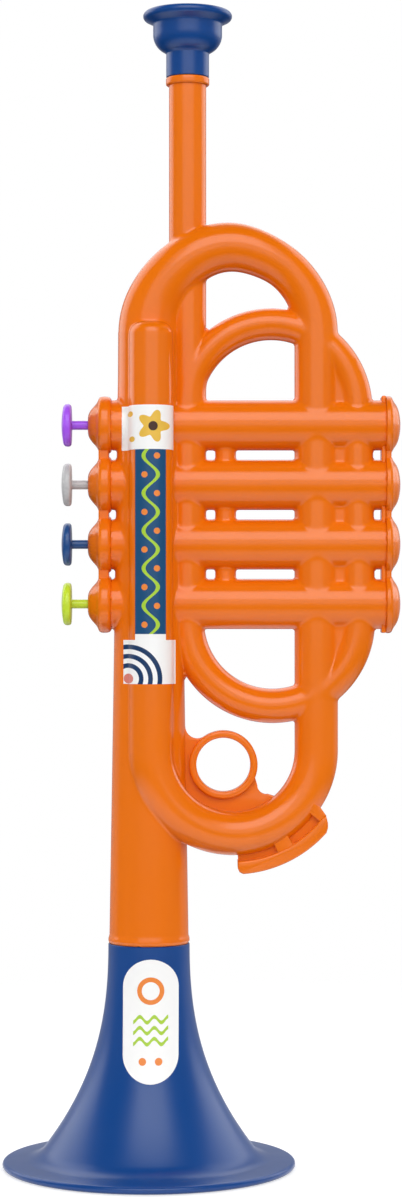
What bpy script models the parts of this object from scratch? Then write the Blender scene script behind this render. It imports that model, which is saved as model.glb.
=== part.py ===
"""Toy trumpet in coloured plastic: blown like a reed horn, with four press buttons for four notes.

The orange body is moulded in two half shells that part on the plane y = 0. Breath runs from the mouthpiece
down the lead pipe into four valve casings. A button pushes its pad off its seat, the air sounds that casing's
reed, and the sound leaves by the right leg, the lower bow and the bell.

Lengths are in metres. The bell stands on z = 0, the front faces -Y, and the buttons press towards +X.
"""

import math

import bmesh
import bpy
from mathutils import Matrix, Vector

MM = 0.001
GAP = 0.3 * MM  # clearance between pieces that rest on each other
WALL = 1.7 * MM  # of the moulded body

# Bell, about a vertical axis
BELL_X = -17.2 * MM
BELL_TOP = 72.4 * MM
BELL_THROAT = 13.2 * MM
BELL_WALL = 1.6 * MM
BELL_STEPS = 28
FLARE_START = 74.0 * MM
FLARE_END = 6.3 * MM
FLARE_REACH = 64.0 * MM
FLARE_RISE = 18.1 * MM
FLARE_POWER = 2.5
FLANGE_BEND = 9.0 * MM  # radius that turns the flare into the flange
FLANGE_FALL = 5.0  # degrees below level, going out
RIM_RADIUS = 47.5 * MM
RIM_ROLL = 1.2 * MM
RIM_FOOT = 44.9 * MM  # inner edge of the flat ring that the trumpet stands on
SOCKET_RADIUS = 11.5 * MM
SOCKET_DEPTH = 11.7 * MM

# Bell tube and the bows that go on from it
TUBE_BOTTOM = 72.7 * MM
SPIGOT_RADIUS = SOCKET_RADIUS - GAP
SPIGOT_BOTTOM = 62.0 * MM
BELL_TUBE_BORE = 9.6 * MM
BELL_BORE_TOP = 171.0 * MM
TOP_BOW_X = 8.5 * MM
TOP_BOW_Z = 270.8 * MM
TOP_BOW_OUTSIDE = 35.65 * MM
TOP_BOW_FLAT = 0.25 * MM  # how far its crown is lower than a round one
TOP_BOW_SHOULDER = 0.8 * MM  # how far its shoulders are inside a round one
TOP_BOW_FORWARD = 2.5 * MM  # how far its crown leans to the front, over the lead pipe
TOP_BORE_END = 253.0 * MM
TOP_BORE_RADIUS = 8.2 * MM
LEG_RADIUS = 7.05 * MM
LOW_BOW_X = 10.4 * MM
LOW_BOW_Z = 135.2 * MM
LOW_BOW_RADIUS = 26.75 * MM
FRONT_LEG_Y = -9.3 * MM
FRONT_LEG_TOP = 273.3 * MM
FRONT_LEG_ROUND = 4.0 * MM
FRONT_BORE_Y = -10.9 * MM
FRONT_BORE_RADIUS = 3.6 * MM
FRONT_BORE_SPAN = (150.0 * MM, 248.0 * MM)

# Lead pipe and slide ring
LEAD_X = -4.65 * MM
LEAD_RADIUS = 6.05 * MM
LEAD_BORE = 4.3 * MM
COLLAR_RADIUS = 7.05 * MM
COLLAR_TOP = 353.5 * MM
COLLAR_BOTTOM = 351.0 * MM
RING_HIGH = (22.5 * MM, 245.75 * MM)  # centre of its upper bend
RING_LOW = (23.25 * MM, 177.35 * MM)  # centre of its lower bend
RING_BEND = 27.8 * MM
RING_TUBE = 5.15 * MM  # radius at the upper bend
RING_SWELL = 0.45 * MM  # how much wider the lower bend is
RING_HOLLOW = 130.0  # degrees where its hollow ends, so that breath in the lead pipe can't pass by the valves

# Valves, along X
VALVES = 4
VALVE_TOP_Z = 240.7 * MM
VALVE_PITCH = 19.35 * MM
CASING_RADIUS = 8.03 * MM
CASING_LEFT = -29.25 * MM
CASING_RIGHT = 59.6 * MM
CASING_FLANGE = 9.25 * MM  # radius of its right end
FLANGE_BAR_X = (58.5 * MM, 59.5 * MM)
BAR_HALF = 4.0 * MM  # half the depth of the bars that join flanges and caps
STEM_BORE = 5.4 * MM  # bore on the button side of the seat
REED_BORE = 6.2 * MM  # bore on the reed side of the seat
BORE_STEP = 1.2 * MM
POST_X = 7.7 * MM
POST_RADIUS = 3.4 * MM
SIDE_WEB_X = (40.0 * MM, 50.0 * MM)
SIDE_WEB_Z = (170.0 * MM, 253.0 * MM)

# Finger ring and hook, moulded on the body
FINGER_X = 6.95 * MM
FINGER_Z = 130.5 * MM
FINGER_BORE = 8.75 * MM
FINGER_OUTSIDE = 11.1 * MM
FINGER_WIDTH = 7.0 * MM
WEB_THICKNESS = 3.0 * MM
HOOK_OUTSIDE = 39.9 * MM
HOOK_LIP = 3.0 * MM
HOOK_WIDTH = 10.0 * MM
HOOK_FROM, HOOK_TO = -88.2, -34.6  # degrees about the lower bow's centre
HOOK_RIBS = {"hook_rib": (-66.8, -57.7), "hook_end": (-38.6, -34.4)}
HOOK_WEB = 2.6 * MM
HOOK_RIB = 5.4 * MM
HOOK_Y = -2.0 * MM

# Mouthpiece, above the lead pipe
MOUTH_TOP = 375.0 * MM
MOUTH_RIM = 14.45 * MM
CUP_RADIUS = 11.2 * MM
NECK_RADIUS = 6.95 * MM
SHANK_RADIUS = LEAD_BORE - GAP
SHANK_BOTTOM = 341.0 * MM
THROAT_RADIUS = 2.2 * MM

# Buttons, and what each one works
BUTTON_RADIUS = 6.9 * MM
BUTTON_FACE = -45.6 * MM
BUTTON_BACK = -42.4 * MM
STEM_RADIUS = 1.45 * MM
STEM_END = 8.6 * MM
SEAT_LEFT = BORE_STEP + GAP
SEAT_RIGHT = 4.5 * MM
SEAT_HOLE = 3.2 * MM
PAD_RADIUS = 4.9 * MM
PAD_RIGHT = 6.3 * MM
CARRIER_RIGHT = 9.6 * MM
CARRIER_BOSS = 2.2 * MM
CARRIER_END = 11.6 * MM
BLOCK_LEFT = 22.2 * MM
BLOCK_RIGHT = 26.2 * MM
SPRING_RADIUS = 3.4 * MM
SPRING_WIRE = 0.35 * MM
SPRING_TURNS = 5
SPRING_POINTS = 8  # in a turn
SHALLOT_RADIUS = 2.6 * MM
AIR_CHANNEL = 1.5 * MM
REED_LENGTHS = (13.5 * MM, 12.2 * MM, 11.0 * MM, 10.0 * MM)
REED_THICKNESS = 0.35 * MM
REED_HALF_WIDTH = 1.9 * MM

# Labels
LABEL_THICKNESS = 0.3 * MM
BAND_HALF_WIDTH = 4.8 * MM
PANEL_HALF_WIDTH = 7.0 * MM
PANEL_LOW = (157.0 * MM, 172.9 * MM)
PANEL_HIGH = (232.0 * MM, 245.4 * MM)
BELL_LABEL_HALF_WIDTH = 8.85 * MM
BELL_LABEL_SPAN = (29.7 * MM, 68.6 * MM)
BELL_LABEL_X = -16.4 * MM

ORANGE = (0.84, 0.172, 0.002)
BLUE = (0.002, 0.055, 0.25)
BUTTON_COLOURS = ((0.40, 0.095, 0.92), (0.52, 0.52, 0.53), (0.010, 0.070, 0.25), (0.57, 0.78, 0.03))
NATURAL_WHITE = (0.78, 0.77, 0.72)
RUBBER_BLACK = (0.02, 0.02, 0.02)
STEEL = (0.60, 0.60, 0.62)
BRASS = (0.72, 0.48, 0.15)
LABEL_WHITE = (0.88, 0.88, 0.88)

for old in list(bpy.data.objects):
    bpy.data.objects.remove(old, do_unlink=True)

parts = bpy.data.collections.new("toy_trumpet")
tools = bpy.data.collections.new("toy_trumpet_tools")
bpy.context.scene.collection.children.link(parts)
bpy.context.scene.collection.children.link(tools)


def valve_height(number):
    """Height of a valve's axis, numbered from the top."""
    return VALVE_TOP_Z - VALVE_PITCH * number


def polar(centre, radius, angle):
    """The point at an angle, in degrees, about a centre."""
    turn = math.radians(angle)
    return (centre[0] + radius * math.cos(turn), centre[1] + radius * math.sin(turn))


def arc(centre, radius, start, end, count):
    """Points on an arc from one angle to another, both ends included."""
    return [polar(centre, radius, start + (end - start) * i / count) for i in range(count + 1)]


def finish(obj, colour, roughness, metallic=0.0):
    """Makes an object one of the trumpet's parts, with its own material."""
    material = bpy.data.materials.new(obj.name)
    material.use_nodes = True
    surface = material.node_tree.nodes["Principled BSDF"]
    surface.inputs["Base Color"].default_value = (*colour, 1.0)
    surface.inputs["Roughness"].default_value = roughness
    surface.inputs["Metallic"].default_value = metallic
    obj.data.materials.clear()
    obj.data.materials.append(material)
    tools.objects.unlink(obj)
    parts.objects.link(obj)
    return obj


def new_object(name, mesh):
    obj = bpy.data.objects.new(name, mesh)
    tools.objects.link(obj)
    return obj


def settled(name, source):
    """An object with the mesh that another one shows, curve or modifiers included. The source is removed."""
    bpy.context.view_layer.update()
    graph = bpy.context.evaluated_depsgraph_get()
    mesh = bpy.data.meshes.new_from_object(source.evaluated_get(graph))
    bm = bmesh.new()
    bm.from_mesh(mesh)
    bmesh.ops.remove_doubles(bm, verts=bm.verts, dist=0.001 * MM)
    bm.to_mesh(mesh)
    bm.free()
    mesh.shade_smooth()
    place = source.matrix_world.copy()
    bpy.data.objects.remove(source, do_unlink=True)
    obj = new_object(name, mesh)
    obj.matrix_world = place
    return obj


def tube(name, path, sides, cyclic=False):
    """A closed tube along (point, radius) pairs."""
    curve = bpy.data.curves.new(name, "CURVE")
    curve.dimensions = "3D"
    curve.fill_mode = "FULL"
    curve.bevel_depth = 1.0
    curve.bevel_resolution = (sides - 4) // 2
    curve.use_fill_caps = True
    spline = curve.splines.new("POLY")
    spline.points.add(len(path) - 1)
    for spot, (point, radius) in zip(spline.points, path):
        spot.co = (*point, 1.0)
        spot.radius = radius
    spline.use_cyclic_u = cyclic
    return settled(name, new_object(name, curve))


def plate(name, outline, middle, thickness):
    """A flat outline of (x, z) points, with its thickness along Y about y = middle."""
    curve = bpy.data.curves.new(name, "CURVE")
    curve.dimensions = "2D"
    curve.fill_mode = "BOTH"
    curve.extrude = thickness / 2
    spline = curve.splines.new("POLY")
    spline.points.add(len(outline) - 1)
    for spot, (x, z) in zip(spline.points, outline):
        spot.co = (x, z, 0.0, 1.0)
    spline.use_cyclic_u = True
    flat = new_object(name, curve)
    flat.location = (0.0, middle, 0.0)
    flat.rotation_euler = (math.pi / 2, 0.0, 0.0)
    return settled(name, flat)


def turned(name, profile, steps, ring=False):
    """A profile of (radius, height) points turned about local Z. A ring's profile is a closed loop."""
    bm = bmesh.new()
    spots = [bm.verts.new((radius, 0.0, height)) for radius, height in profile]
    for pair in zip(spots, spots[1:]):
        bm.edges.new(pair)
    if ring:
        bm.edges.new((spots[-1], spots[0]))
    mesh = bpy.data.meshes.new(name)
    bm.to_mesh(mesh)
    bm.free()
    obj = new_object(name, mesh)
    screw = obj.modifiers.new("turn", "SCREW")
    screw.steps = steps
    screw.render_steps = steps
    screw.use_merge_vertices = True
    screw.merge_threshold = 0.01 * MM
    screw.use_smooth_shade = True
    return obj


def along_x(obj, height):
    """Lays a turned object along X, at a valve's height."""
    obj.location = (0.0, 0.0, height)
    obj.rotation_euler = (0.0, math.pi / 2, 0.0)
    return obj


def cylinder(name, start, end, radius, sides):
    """A plain cylinder between the centres of its two ends."""
    axis = Vector(end) - Vector(start)
    length = axis.length
    bm = bmesh.new()
    bmesh.ops.create_cone(bm, cap_ends=True, segments=sides, radius1=radius, radius2=radius, depth=length)
    mesh = bpy.data.meshes.new(name)
    bm.to_mesh(mesh)
    bm.free()
    obj = new_object(name, mesh)
    turn = axis.to_track_quat("Z", "Y").to_matrix().to_4x4()
    obj.matrix_world = Matrix.Translation((Vector(start) + Vector(end)) / 2) @ turn
    return obj


def box(name, low, high):
    """A plain box between two corners."""
    size = Vector(high) - Vector(low)
    bm = bmesh.new()
    bmesh.ops.create_cube(bm, size=1.0, matrix=Matrix.Diagonal((*size, 1.0)))
    mesh = bpy.data.meshes.new(name)
    bm.to_mesh(mesh)
    bm.free()
    obj = new_object(name, mesh)
    obj.location = (Vector(low) + Vector(high)) / 2
    return obj


def combine(obj, operation, others):
    """A Boolean of an object with several others, which stay in a collection of their own as tools."""
    group = bpy.data.collections.new(f"{obj.name}_{operation.lower()}")
    tools.children.link(group)
    for other in others:
        tools.objects.unlink(other)
        group.objects.link(other)
        other.hide_render = True
        other.display_type = "WIRE"
    boolean = obj.modifiers.new(operation.lower(), "BOOLEAN")
    boolean.operation = operation
    boolean.operand_type = "COLLECTION"
    boolean.collection = group
    boolean.use_self = operation == "UNION"
    return obj


def top_bow(shrink, count):
    """Path of the top bow from the bell tube to the right leg. It narrows on the way."""
    path = []
    for i in range(count + 1):
        way = i / count
        radius = (10.05 - 5.4 * way + 2.4 * way * way) * MM
        angle = math.pi * (1.0 - way)
        flattened = TOP_BOW_FLAT * math.sin(angle) ** 2 + TOP_BOW_SHOULDER * math.sin(2.0 * angle) ** 2
        reach = TOP_BOW_OUTSIDE - flattened - radius
        x = TOP_BOW_X + reach * math.cos(angle)
        y = -TOP_BOW_FORWARD * math.sin(angle) ** 2
        z = TOP_BOW_Z + reach * math.sin(angle)
        path.append(((x, y, z), radius - shrink))
    return path


def low_bow(radius, count):
    """Path of the lower bow from the right leg to the front leg, which it brings before the bell tube."""
    path = []
    for i in range(count + 1):
        angle = -math.pi * i / count
        x = LOW_BOW_X + LOW_BOW_RADIUS * math.cos(angle)
        y = FRONT_LEG_Y * (1.0 - math.cos(angle)) / 2
        z = LOW_BOW_Z + LOW_BOW_RADIUS * math.sin(angle)
        path.append(((x, y, z), radius))
    return path


def main_tube():
    """The long tube: bell tube, top bow, right leg, lower bow and front leg with its rounded end."""
    bell_tube = [(72.7, 12.5), (73.1, 13.2), (74.5, 13.2), (75.1, 12.85), (151.0, 11.75), (231.0, 10.75)]
    path = [((BELL_X, 0.0, z * MM), radius * MM) for z, radius in bell_tube]
    path += top_bow(0.0, 13)
    path += low_bow(LEG_RADIUS, 13)
    end_x = LOW_BOW_X - LOW_BOW_RADIUS
    for angle in (0.0, 30.0, 60.0, 90.0):
        radius = LEG_RADIUS - FRONT_LEG_ROUND * (1.0 - math.cos(math.radians(angle)))
        z = FRONT_LEG_TOP - FRONT_LEG_ROUND * (1.0 - math.sin(math.radians(angle)))
        path.append(((end_x, FRONT_LEG_Y, z), radius))
    return tube("long_tube", path, 16)


def ring_path(radius, count, turn=180.0):
    """Path of the slide ring round the valves. A whole one starts and ends inside the lead pipe."""
    high = [((x, 0.0, z), radius) for x, z in arc(RING_HIGH, RING_BEND, turn, 0.0, count)]
    low = [((x, 0.0, z), radius + RING_SWELL) for x, z in arc(RING_LOW, RING_BEND, 0.0, -turn, count)]
    return high + low


def ring_web():
    """The web that ties the finger ring to the bell tube and the lower bow, with its two notches."""
    high_round = 3.9 * MM
    high_notch = (BELL_X + 11.8 * MM + high_round, FINGER_Z + 12.4 * MM)
    low_round = 2.9 * MM
    low_notch = (FINGER_X + 13.95 * MM, FINGER_Z - 6.7 * MM)
    outline = [(BELL_X, high_notch[1])]
    outline += arc(high_notch, high_round, 180.0, 304.0, 5)
    outline += [(FINGER_X, FINGER_Z), polar((FINGER_X, FINGER_Z), FINGER_OUTSIDE, -21.6)]
    outline += arc(low_notch, low_round, 180.0, 310.0, 5)
    outline += arc((LOW_BOW_X, LOW_BOW_Z), LOW_BOW_RADIUS - 3.0 * MM, -40.0, -150.0, 6)
    outline.append((BELL_X, LOW_BOW_Z - 20.0 * MM))
    return plate("ring_web", outline, 0.0, WEB_THICKNESS)


def hook():
    """The hook under the lower bow: a curved lip on a thin web, and two ribs across the groove."""
    centre = (LOW_BOW_X, LOW_BOW_Z)
    sharp_corner, blunt_corner = 2.2, 6.5  # degrees that the rounded corners of the lip take up
    lip_inside = HOOK_OUTSIDE - HOOK_LIP
    lip_middle = HOOK_OUTSIDE - 0.5 * HOOK_LIP
    lip = arc(centre, HOOK_OUTSIDE, HOOK_FROM + sharp_corner, HOOK_TO - blunt_corner, 8)
    lip.append(polar(centre, lip_middle, HOOK_TO - 0.35 * blunt_corner))
    lip += arc(centre, lip_inside, HOOK_TO, HOOK_FROM, 9)
    lip.append(polar(centre, lip_middle, HOOK_FROM))
    set_in = 0.5
    web = arc(centre, lip_inside + 1.0 * MM, HOOK_FROM + set_in, HOOK_TO - set_in, 6)
    web += arc(centre, LOW_BOW_RADIUS, HOOK_TO - set_in, HOOK_FROM + set_in, 6)
    moulded = [plate("hook_lip", lip, HOOK_Y, HOOK_WIDTH), plate("hook_web", web, HOOK_Y, HOOK_WEB)]
    for name, (start, end) in HOOK_RIBS.items():
        rib = arc(centre, lip_inside + 1.2 * MM, start, end, 2)
        rib += arc(centre, LOW_BOW_RADIUS, end, start, 2)
        moulded.append(plate(name, rib, HOOK_Y, HOOK_RIB))
    return moulded


def body_outside():
    """Everything that joins the long tube to make the body's outer form."""
    lead_path = [((LEAD_X, 0.0, z), LEAD_RADIUS) for z in (COLLAR_TOP - 1.5 * MM, RING_LOW[1])]
    collar_edge = 0.6 * MM
    collar = turned("collar", [
        (0.0, COLLAR_TOP),
        (COLLAR_RADIUS - collar_edge, COLLAR_TOP),
        (COLLAR_RADIUS, COLLAR_TOP - collar_edge),
        (COLLAR_RADIUS, COLLAR_BOTTOM + collar_edge),
        (COLLAR_RADIUS - collar_edge, COLLAR_BOTTOM),
        (0.0, COLLAR_BOTTOM),
    ], 20)
    collar.location.x = LEAD_X
    spigot_top = TUBE_BOTTOM + 9.0 * MM
    finger_front = (FINGER_X, -FINGER_WIDTH / 2, FINGER_Z)
    finger_back = (FINGER_X, FINGER_WIDTH / 2, FINGER_Z)
    half_web = WEB_THICKNESS / 2
    low_valve = valve_height(VALVES - 1)
    joined = [
        tube("lead_pipe", lead_path, 16),
        collar,
        tube("slide_ring", ring_path(RING_TUBE, 10), 12, cyclic=True),
        cylinder("post", (POST_X, 0.0, low_valve), (POST_X, 0.0, VALVE_TOP_Z), POST_RADIUS, 10),
        box("side_web", (SIDE_WEB_X[0], -half_web, SIDE_WEB_Z[0]), (SIDE_WEB_X[1], half_web, SIDE_WEB_Z[1])),
        cylinder("spigot", (BELL_X, 0.0, SPIGOT_BOTTOM), (BELL_X, 0.0, spigot_top), SPIGOT_RADIUS, 20),
        cylinder("finger_ring", finger_front, finger_back, FINGER_OUTSIDE, 26),
        ring_web(),
        *hook(),
        box("flange_bar", (FLANGE_BAR_X[0], -BAR_HALF, low_valve), (FLANGE_BAR_X[1], BAR_HALF, VALVE_TOP_Z)),
    ]
    flare_root = CASING_RIGHT - 2.2 * MM
    flange_root = CASING_RIGHT - 0.7 * MM
    for number in range(VALVES):
        z = valve_height(number)
        casing = [((CASING_LEFT, 0.0, z), CASING_RADIUS), ((flare_root, 0.0, z), CASING_RADIUS)]
        casing += [((flange_root, 0.0, z), CASING_FLANGE), ((CASING_RIGHT, 0.0, z), CASING_FLANGE)]
        joined.append(tube(f"casing_{number}", casing, 16))
    return joined


def body_hollow():
    """What is hollow in the body: the air way, the valve bores and the finger ring's hole."""
    lead_top = COLLAR_TOP + 2.0 * MM
    bell_bottom = (BELL_X, 0.0, SPIGOT_BOTTOM - 2.0 * MM)
    bow_bore = [((BELL_X, 0.0, TOP_BORE_END), TOP_BORE_RADIUS)]
    bow_bore += top_bow(WALL, 9)
    bow_bore += low_bow(LEG_RADIUS - WALL, 9)
    end_x = LOW_BOW_X - LOW_BOW_RADIUS
    bow_bore += [((end_x, FRONT_BORE_Y, z), FRONT_BORE_RADIUS) for z in FRONT_BORE_SPAN]
    finger_mouth = 0.6 * MM
    half = FINGER_WIDTH / 2
    finger_hole = turned("finger_hole", [
        (0.0, half + 1.0 * MM),
        (FINGER_BORE + finger_mouth + 1.0 * MM, half + 1.0 * MM),
        (FINGER_BORE, half - finger_mouth),
        (FINGER_BORE, -half + finger_mouth),
        (FINGER_BORE + finger_mouth + 1.0 * MM, -half - 1.0 * MM),
        (0.0, -half - 1.0 * MM),
    ], 26)
    finger_hole.location = (FINGER_X, 0.0, FINGER_Z)
    finger_hole.rotation_euler = (math.pi / 2, 0.0, 0.0)
    cut = [
        cylinder("lead_bore", (LEAD_X, 0.0, RING_LOW[1]), (LEAD_X, 0.0, lead_top), LEAD_BORE, 12),
        cylinder("bell_bore", bell_bottom, (BELL_X, 0.0, BELL_BORE_TOP), BELL_TUBE_BORE, 16),
        tube("bow_bore", bow_bore, 10),
        tube("ring_bore", ring_path(RING_TUBE - WALL, 7, RING_HOLLOW), 8),
        finger_hole,
    ]
    for number in range(VALVES):
        bore = turned(f"bore_{number}", [
            (0.0, CASING_RIGHT + 2.0 * MM),
            (REED_BORE, CASING_RIGHT + 2.0 * MM),
            (REED_BORE, BORE_STEP),
            (STEM_BORE, BORE_STEP),
            (STEM_BORE, CASING_LEFT - 2.0 * MM),
            (0.0, CASING_LEFT - 2.0 * MM),
        ], 12)
        cut.append(along_x(bore, valve_height(number)))
    return cut


def body_shells():
    """Front and back half of the body, cut from one whole on the parting plane."""
    whole = combine(main_tube(), "UNION", body_outside())
    whole = combine(whole, "DIFFERENCE", body_hollow())
    whole = settled("whole_body", whole)
    far = 500.0 * MM
    for name, side in (("front_shell", -1.0), ("back_shell", 1.0)):
        shell = new_object(name, whole.data.copy())
        edges = sorted((side * GAP / 2, -side * far))
        other_half = box(f"{name}_cut", (-far, edges[0], -far), (far, edges[1], far))
        combine(shell, "DIFFERENCE", [other_half])
        finish(shell, ORANGE, 0.28)
    bpy.data.objects.remove(whole, do_unlink=True)


def cap_strip(name, profile, strip_x, hole):
    """Four turned caps on one strip, each with a round hole along its axis."""
    low_valve = valve_height(VALVES - 1)
    strip = box(f"{name}_bar", (strip_x[0], -BAR_HALF, low_valve), (strip_x[1], BAR_HALF, VALVE_TOP_Z))
    radius, start, end = hole
    caps = []
    holes = []
    for number in range(VALVES):
        z = valve_height(number)
        caps.append(along_x(turned(f"{name}_{number}", profile, 14), z))
        holes.append(cylinder(f"{name}_hole_{number}", (start, 0.0, z), (end, 0.0, z), radius, 10))
    whole = combine(caps[0], "UNION", [*caps[1:], strip])
    whole = combine(whole, "DIFFERENCE", holes)
    return finish(settled(name, whole), ORANGE, 0.28)


def top_cap_strip():
    """Domed caps on the button side. Their plugs sit in the casings, and the stems run through them."""
    face = CASING_LEFT - GAP
    profile = [
        (0.0, face + 3.0 * MM),
        (STEM_BORE - GAP, face + 3.0 * MM),
        (STEM_BORE - GAP, face),
        (8.3 * MM, face),
        (9.2 * MM, -30.5 * MM),
        (9.2 * MM, -33.0 * MM),
        (8.0 * MM, -33.8 * MM),
        (6.2 * MM, -34.5 * MM),
        (4.0 * MM, -36.1 * MM),
        (2.6 * MM, -36.9 * MM),
        (0.0, -36.9 * MM),
    ]
    return cap_strip("top_cap_strip", profile, (-33.75 * MM, -29.9 * MM),
                     (STEM_RADIUS + GAP, -40.0 * MM, face + 5.0 * MM))


def bottom_cap_strip():
    """Closed caps on the far side, hollow behind."""
    face = CASING_RIGHT + GAP
    profile = [
        (0.0, 64.6 * MM),
        (3.4 * MM, 64.2 * MM),
        (5.9 * MM, 63.4 * MM),
        (7.2 * MM, 62.3 * MM),
        (8.8 * MM, 61.7 * MM),
        (CASING_FLANGE, 61.1 * MM),
        (CASING_FLANGE, face),
        (REED_BORE - GAP, face),
        (REED_BORE - GAP, face - 3.2 * MM),
        (0.0, face - 3.2 * MM),
    ]
    return cap_strip("bottom_cap_strip", profile, (face, 61.75 * MM),
                     (4.4 * MM, face - 6.0 * MM, 61.5 * MM))


def mouthpiece():
    """Cup mouthpiece with a rounded lip, and a shank in the lead pipe's bore."""
    lip = 1.5 * MM
    neck_bottom = COLLAR_TOP + GAP
    outside = arc((MOUTH_RIM - lip, MOUTH_TOP - lip), lip, 90.0, -55.0, 4)
    outside.append((CUP_RADIUS, MOUTH_TOP - 4.2 * MM))
    bowl = 6.1 * MM
    bowl_end = math.degrees(math.acos((NECK_RADIUS - CUP_RADIUS + bowl) / bowl))
    outside += arc((CUP_RADIUS - bowl, MOUTH_TOP - 7.5 * MM), bowl, 0.0, -bowl_end, 5)
    outside.append((NECK_RADIUS, neck_bottom))
    outside += [(SHANK_RADIUS, neck_bottom), (SHANK_RADIUS, SHANK_BOTTOM)]
    inside = [(THROAT_RADIUS, SHANK_BOTTOM), (THROAT_RADIUS, MOUTH_TOP - 14.0 * MM)]
    inside += arc((1.0 * MM, MOUTH_TOP - 5.0 * MM), 8.4 * MM, -68.0, 0.0, 4)
    inside += arc((CUP_RADIUS, MOUTH_TOP - 1.5 * MM), 1.5 * MM, 180.0, 90.0, 2)
    piece = turned("mouthpiece", outside + inside, 24, ring=True)
    piece.location.x = LEAD_X
    return finish(piece, BLUE, 0.25)


def bell_radius(z):
    """Outer radius of the bell's flare at a height."""
    return BELL_THROAT + FLARE_RISE * (max(FLARE_START - z, 0.0) / FLARE_REACH) ** FLARE_POWER


def flare_slope(z):
    """How fast the flare widens going down."""
    share = max(FLARE_START - z, 0.0) / FLARE_REACH
    return FLARE_POWER * FLARE_RISE / FLARE_REACH * share ** (FLARE_POWER - 1.0)


def flare(outward, high, low, count):
    """Points of the flare going down, moved outward square to the surface."""
    points = []
    for i in range(count + 1):
        z = high + (low - high) * i / count
        slope = flare_slope(z)
        length = math.hypot(1.0, slope)
        points.append((bell_radius(z) + outward / length, z + outward * slope / length))
    return points


def flange_bend(outward):
    """Points of the bend from the flare into the flange."""
    steep = math.degrees(math.atan2(1.0, flare_slope(FLARE_END)))
    centre = polar((bell_radius(FLARE_END), FLARE_END), FLANGE_BEND, 90.0 - steep)
    return arc(centre, FLANGE_BEND - outward, 270.0 - steep, 270.0 - FLANGE_FALL, 3)


def bell():
    """Turned bell: a socket over the spigot, the flare, and a flange with a rolled rim to stand on."""
    outside = flare(0.0, BELL_TOP, FLARE_END, 10)[:-1] + flange_bend(0.0)
    rim = arc((RIM_RADIUS - RIM_ROLL, RIM_ROLL), RIM_ROLL, 80.0, -90.0, 4)
    inner_bend = flange_bend(-BELL_WALL)
    bend_radius, bend_height = inner_bend[-1]
    fall = math.tan(math.radians(FLANGE_FALL)) * (RIM_FOOT - bend_radius)
    edge = (RIM_FOOT - 0.2 * MM, bend_height - fall)
    socket_end = BELL_TOP - SOCKET_DEPTH
    inside = flare(-BELL_WALL, socket_end, FLARE_END, 7)[:-1] + inner_bend
    profile = outside + rim + [(RIM_FOOT, 0.0), edge] + inside[::-1]
    profile += [(SOCKET_RADIUS, socket_end), (SOCKET_RADIUS, BELL_TOP)]
    piece = turned("bell", profile, BELL_STEPS, ring=True)
    piece.location.x = BELL_X
    return finish(piece, BLUE, 0.25)


def valve_works(number):
    """Everything inside one casing, with its button. What moves hangs on an empty on the valve's axis."""
    z = valve_height(number)
    label = number + 1
    edge = 0.9 * MM
    button = turned(f"button_{label}", [
        (0.0, STEM_END),
        (STEM_RADIUS, STEM_END),
        (STEM_RADIUS, BUTTON_BACK),
        (BUTTON_RADIUS - edge, BUTTON_BACK),
        (BUTTON_RADIUS - 0.25 * edge, BUTTON_BACK - 0.4 * edge),
        (BUTTON_RADIUS, BUTTON_BACK - edge),
        (BUTTON_RADIUS, BUTTON_FACE + 1.6 * edge),
        (BUTTON_RADIUS - 0.3 * edge, BUTTON_FACE + 0.8 * edge),
        (BUTTON_RADIUS - 1.2 * edge, BUTTON_FACE + 0.3 * edge),
        (0.0, BUTTON_FACE),
    ], 16)
    pad = turned(f"valve_pad_{label}", [
        (PAD_RADIUS, PAD_RIGHT),
        (PAD_RADIUS, SEAT_RIGHT + GAP),
        (STEM_RADIUS + GAP, SEAT_RIGHT + GAP),
        (STEM_RADIUS + GAP, PAD_RIGHT),
    ], 12, ring=True)
    carrier = turned(f"pad_carrier_{label}", [
        (0.0, CARRIER_END),
        (CARRIER_BOSS, CARRIER_END),
        (CARRIER_BOSS, CARRIER_RIGHT),
        (PAD_RADIUS, CARRIER_RIGHT),
        (PAD_RADIUS, PAD_RIGHT + GAP),
        (STEM_RADIUS + GAP, PAD_RIGHT + GAP),
        (STEM_RADIUS + GAP, STEM_END + GAP),
        (0.0, STEM_END + GAP),
    ], 12)
    seat = turned(f"valve_seat_{label}", [
        (REED_BORE - GAP, SEAT_RIGHT),
        (REED_BORE - GAP, SEAT_LEFT),
        (SEAT_HOLE, SEAT_LEFT),
        (SEAT_HOLE, SEAT_RIGHT),
    ], 12, ring=True)
    axis = bpy.data.objects.new(f"button_{label}_axis", None)
    parts.objects.link(axis)
    axis.location = (0.0, 0.0, z)
    for moving in (button, pad, carrier):
        along_x(moving, 0.0)
        moving.parent = axis
    along_x(seat, z)
    finish(button, BUTTON_COLOURS[number], 0.3)
    finish(pad, RUBBER_BLACK, 0.7)
    finish(carrier, NATURAL_WHITE, 0.45)
    finish(seat, NATURAL_WHITE, 0.45)
    finish(return_spring(label, z), STEEL, 0.3, 1.0)
    block, reed = reed_set(label, z, REED_LENGTHS[number])
    finish(block, NATURAL_WHITE, 0.45)
    finish(reed, BRASS, 0.35, 1.0)


def spring_path(z):
    """Middle of a spring's wire, from the carrier to the reed block."""
    start = CARRIER_RIGHT + GAP + SPRING_WIRE
    end = BLOCK_LEFT - GAP - SPRING_WIRE
    count = SPRING_TURNS * SPRING_POINTS
    path = []
    for i in range(count + 1):
        angle = 2.0 * math.pi * i / SPRING_POINTS
        x = start + (end - start) * i / count
        path.append((x, SPRING_RADIUS * math.cos(angle), z + SPRING_RADIUS * math.sin(angle)))
    return path


def return_spring(label, z):
    """Coil spring of one unbroken wire."""
    return tube(f"return_spring_{label}", [(point, SPRING_WIRE) for point in spring_path(z)], 6)


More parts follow.
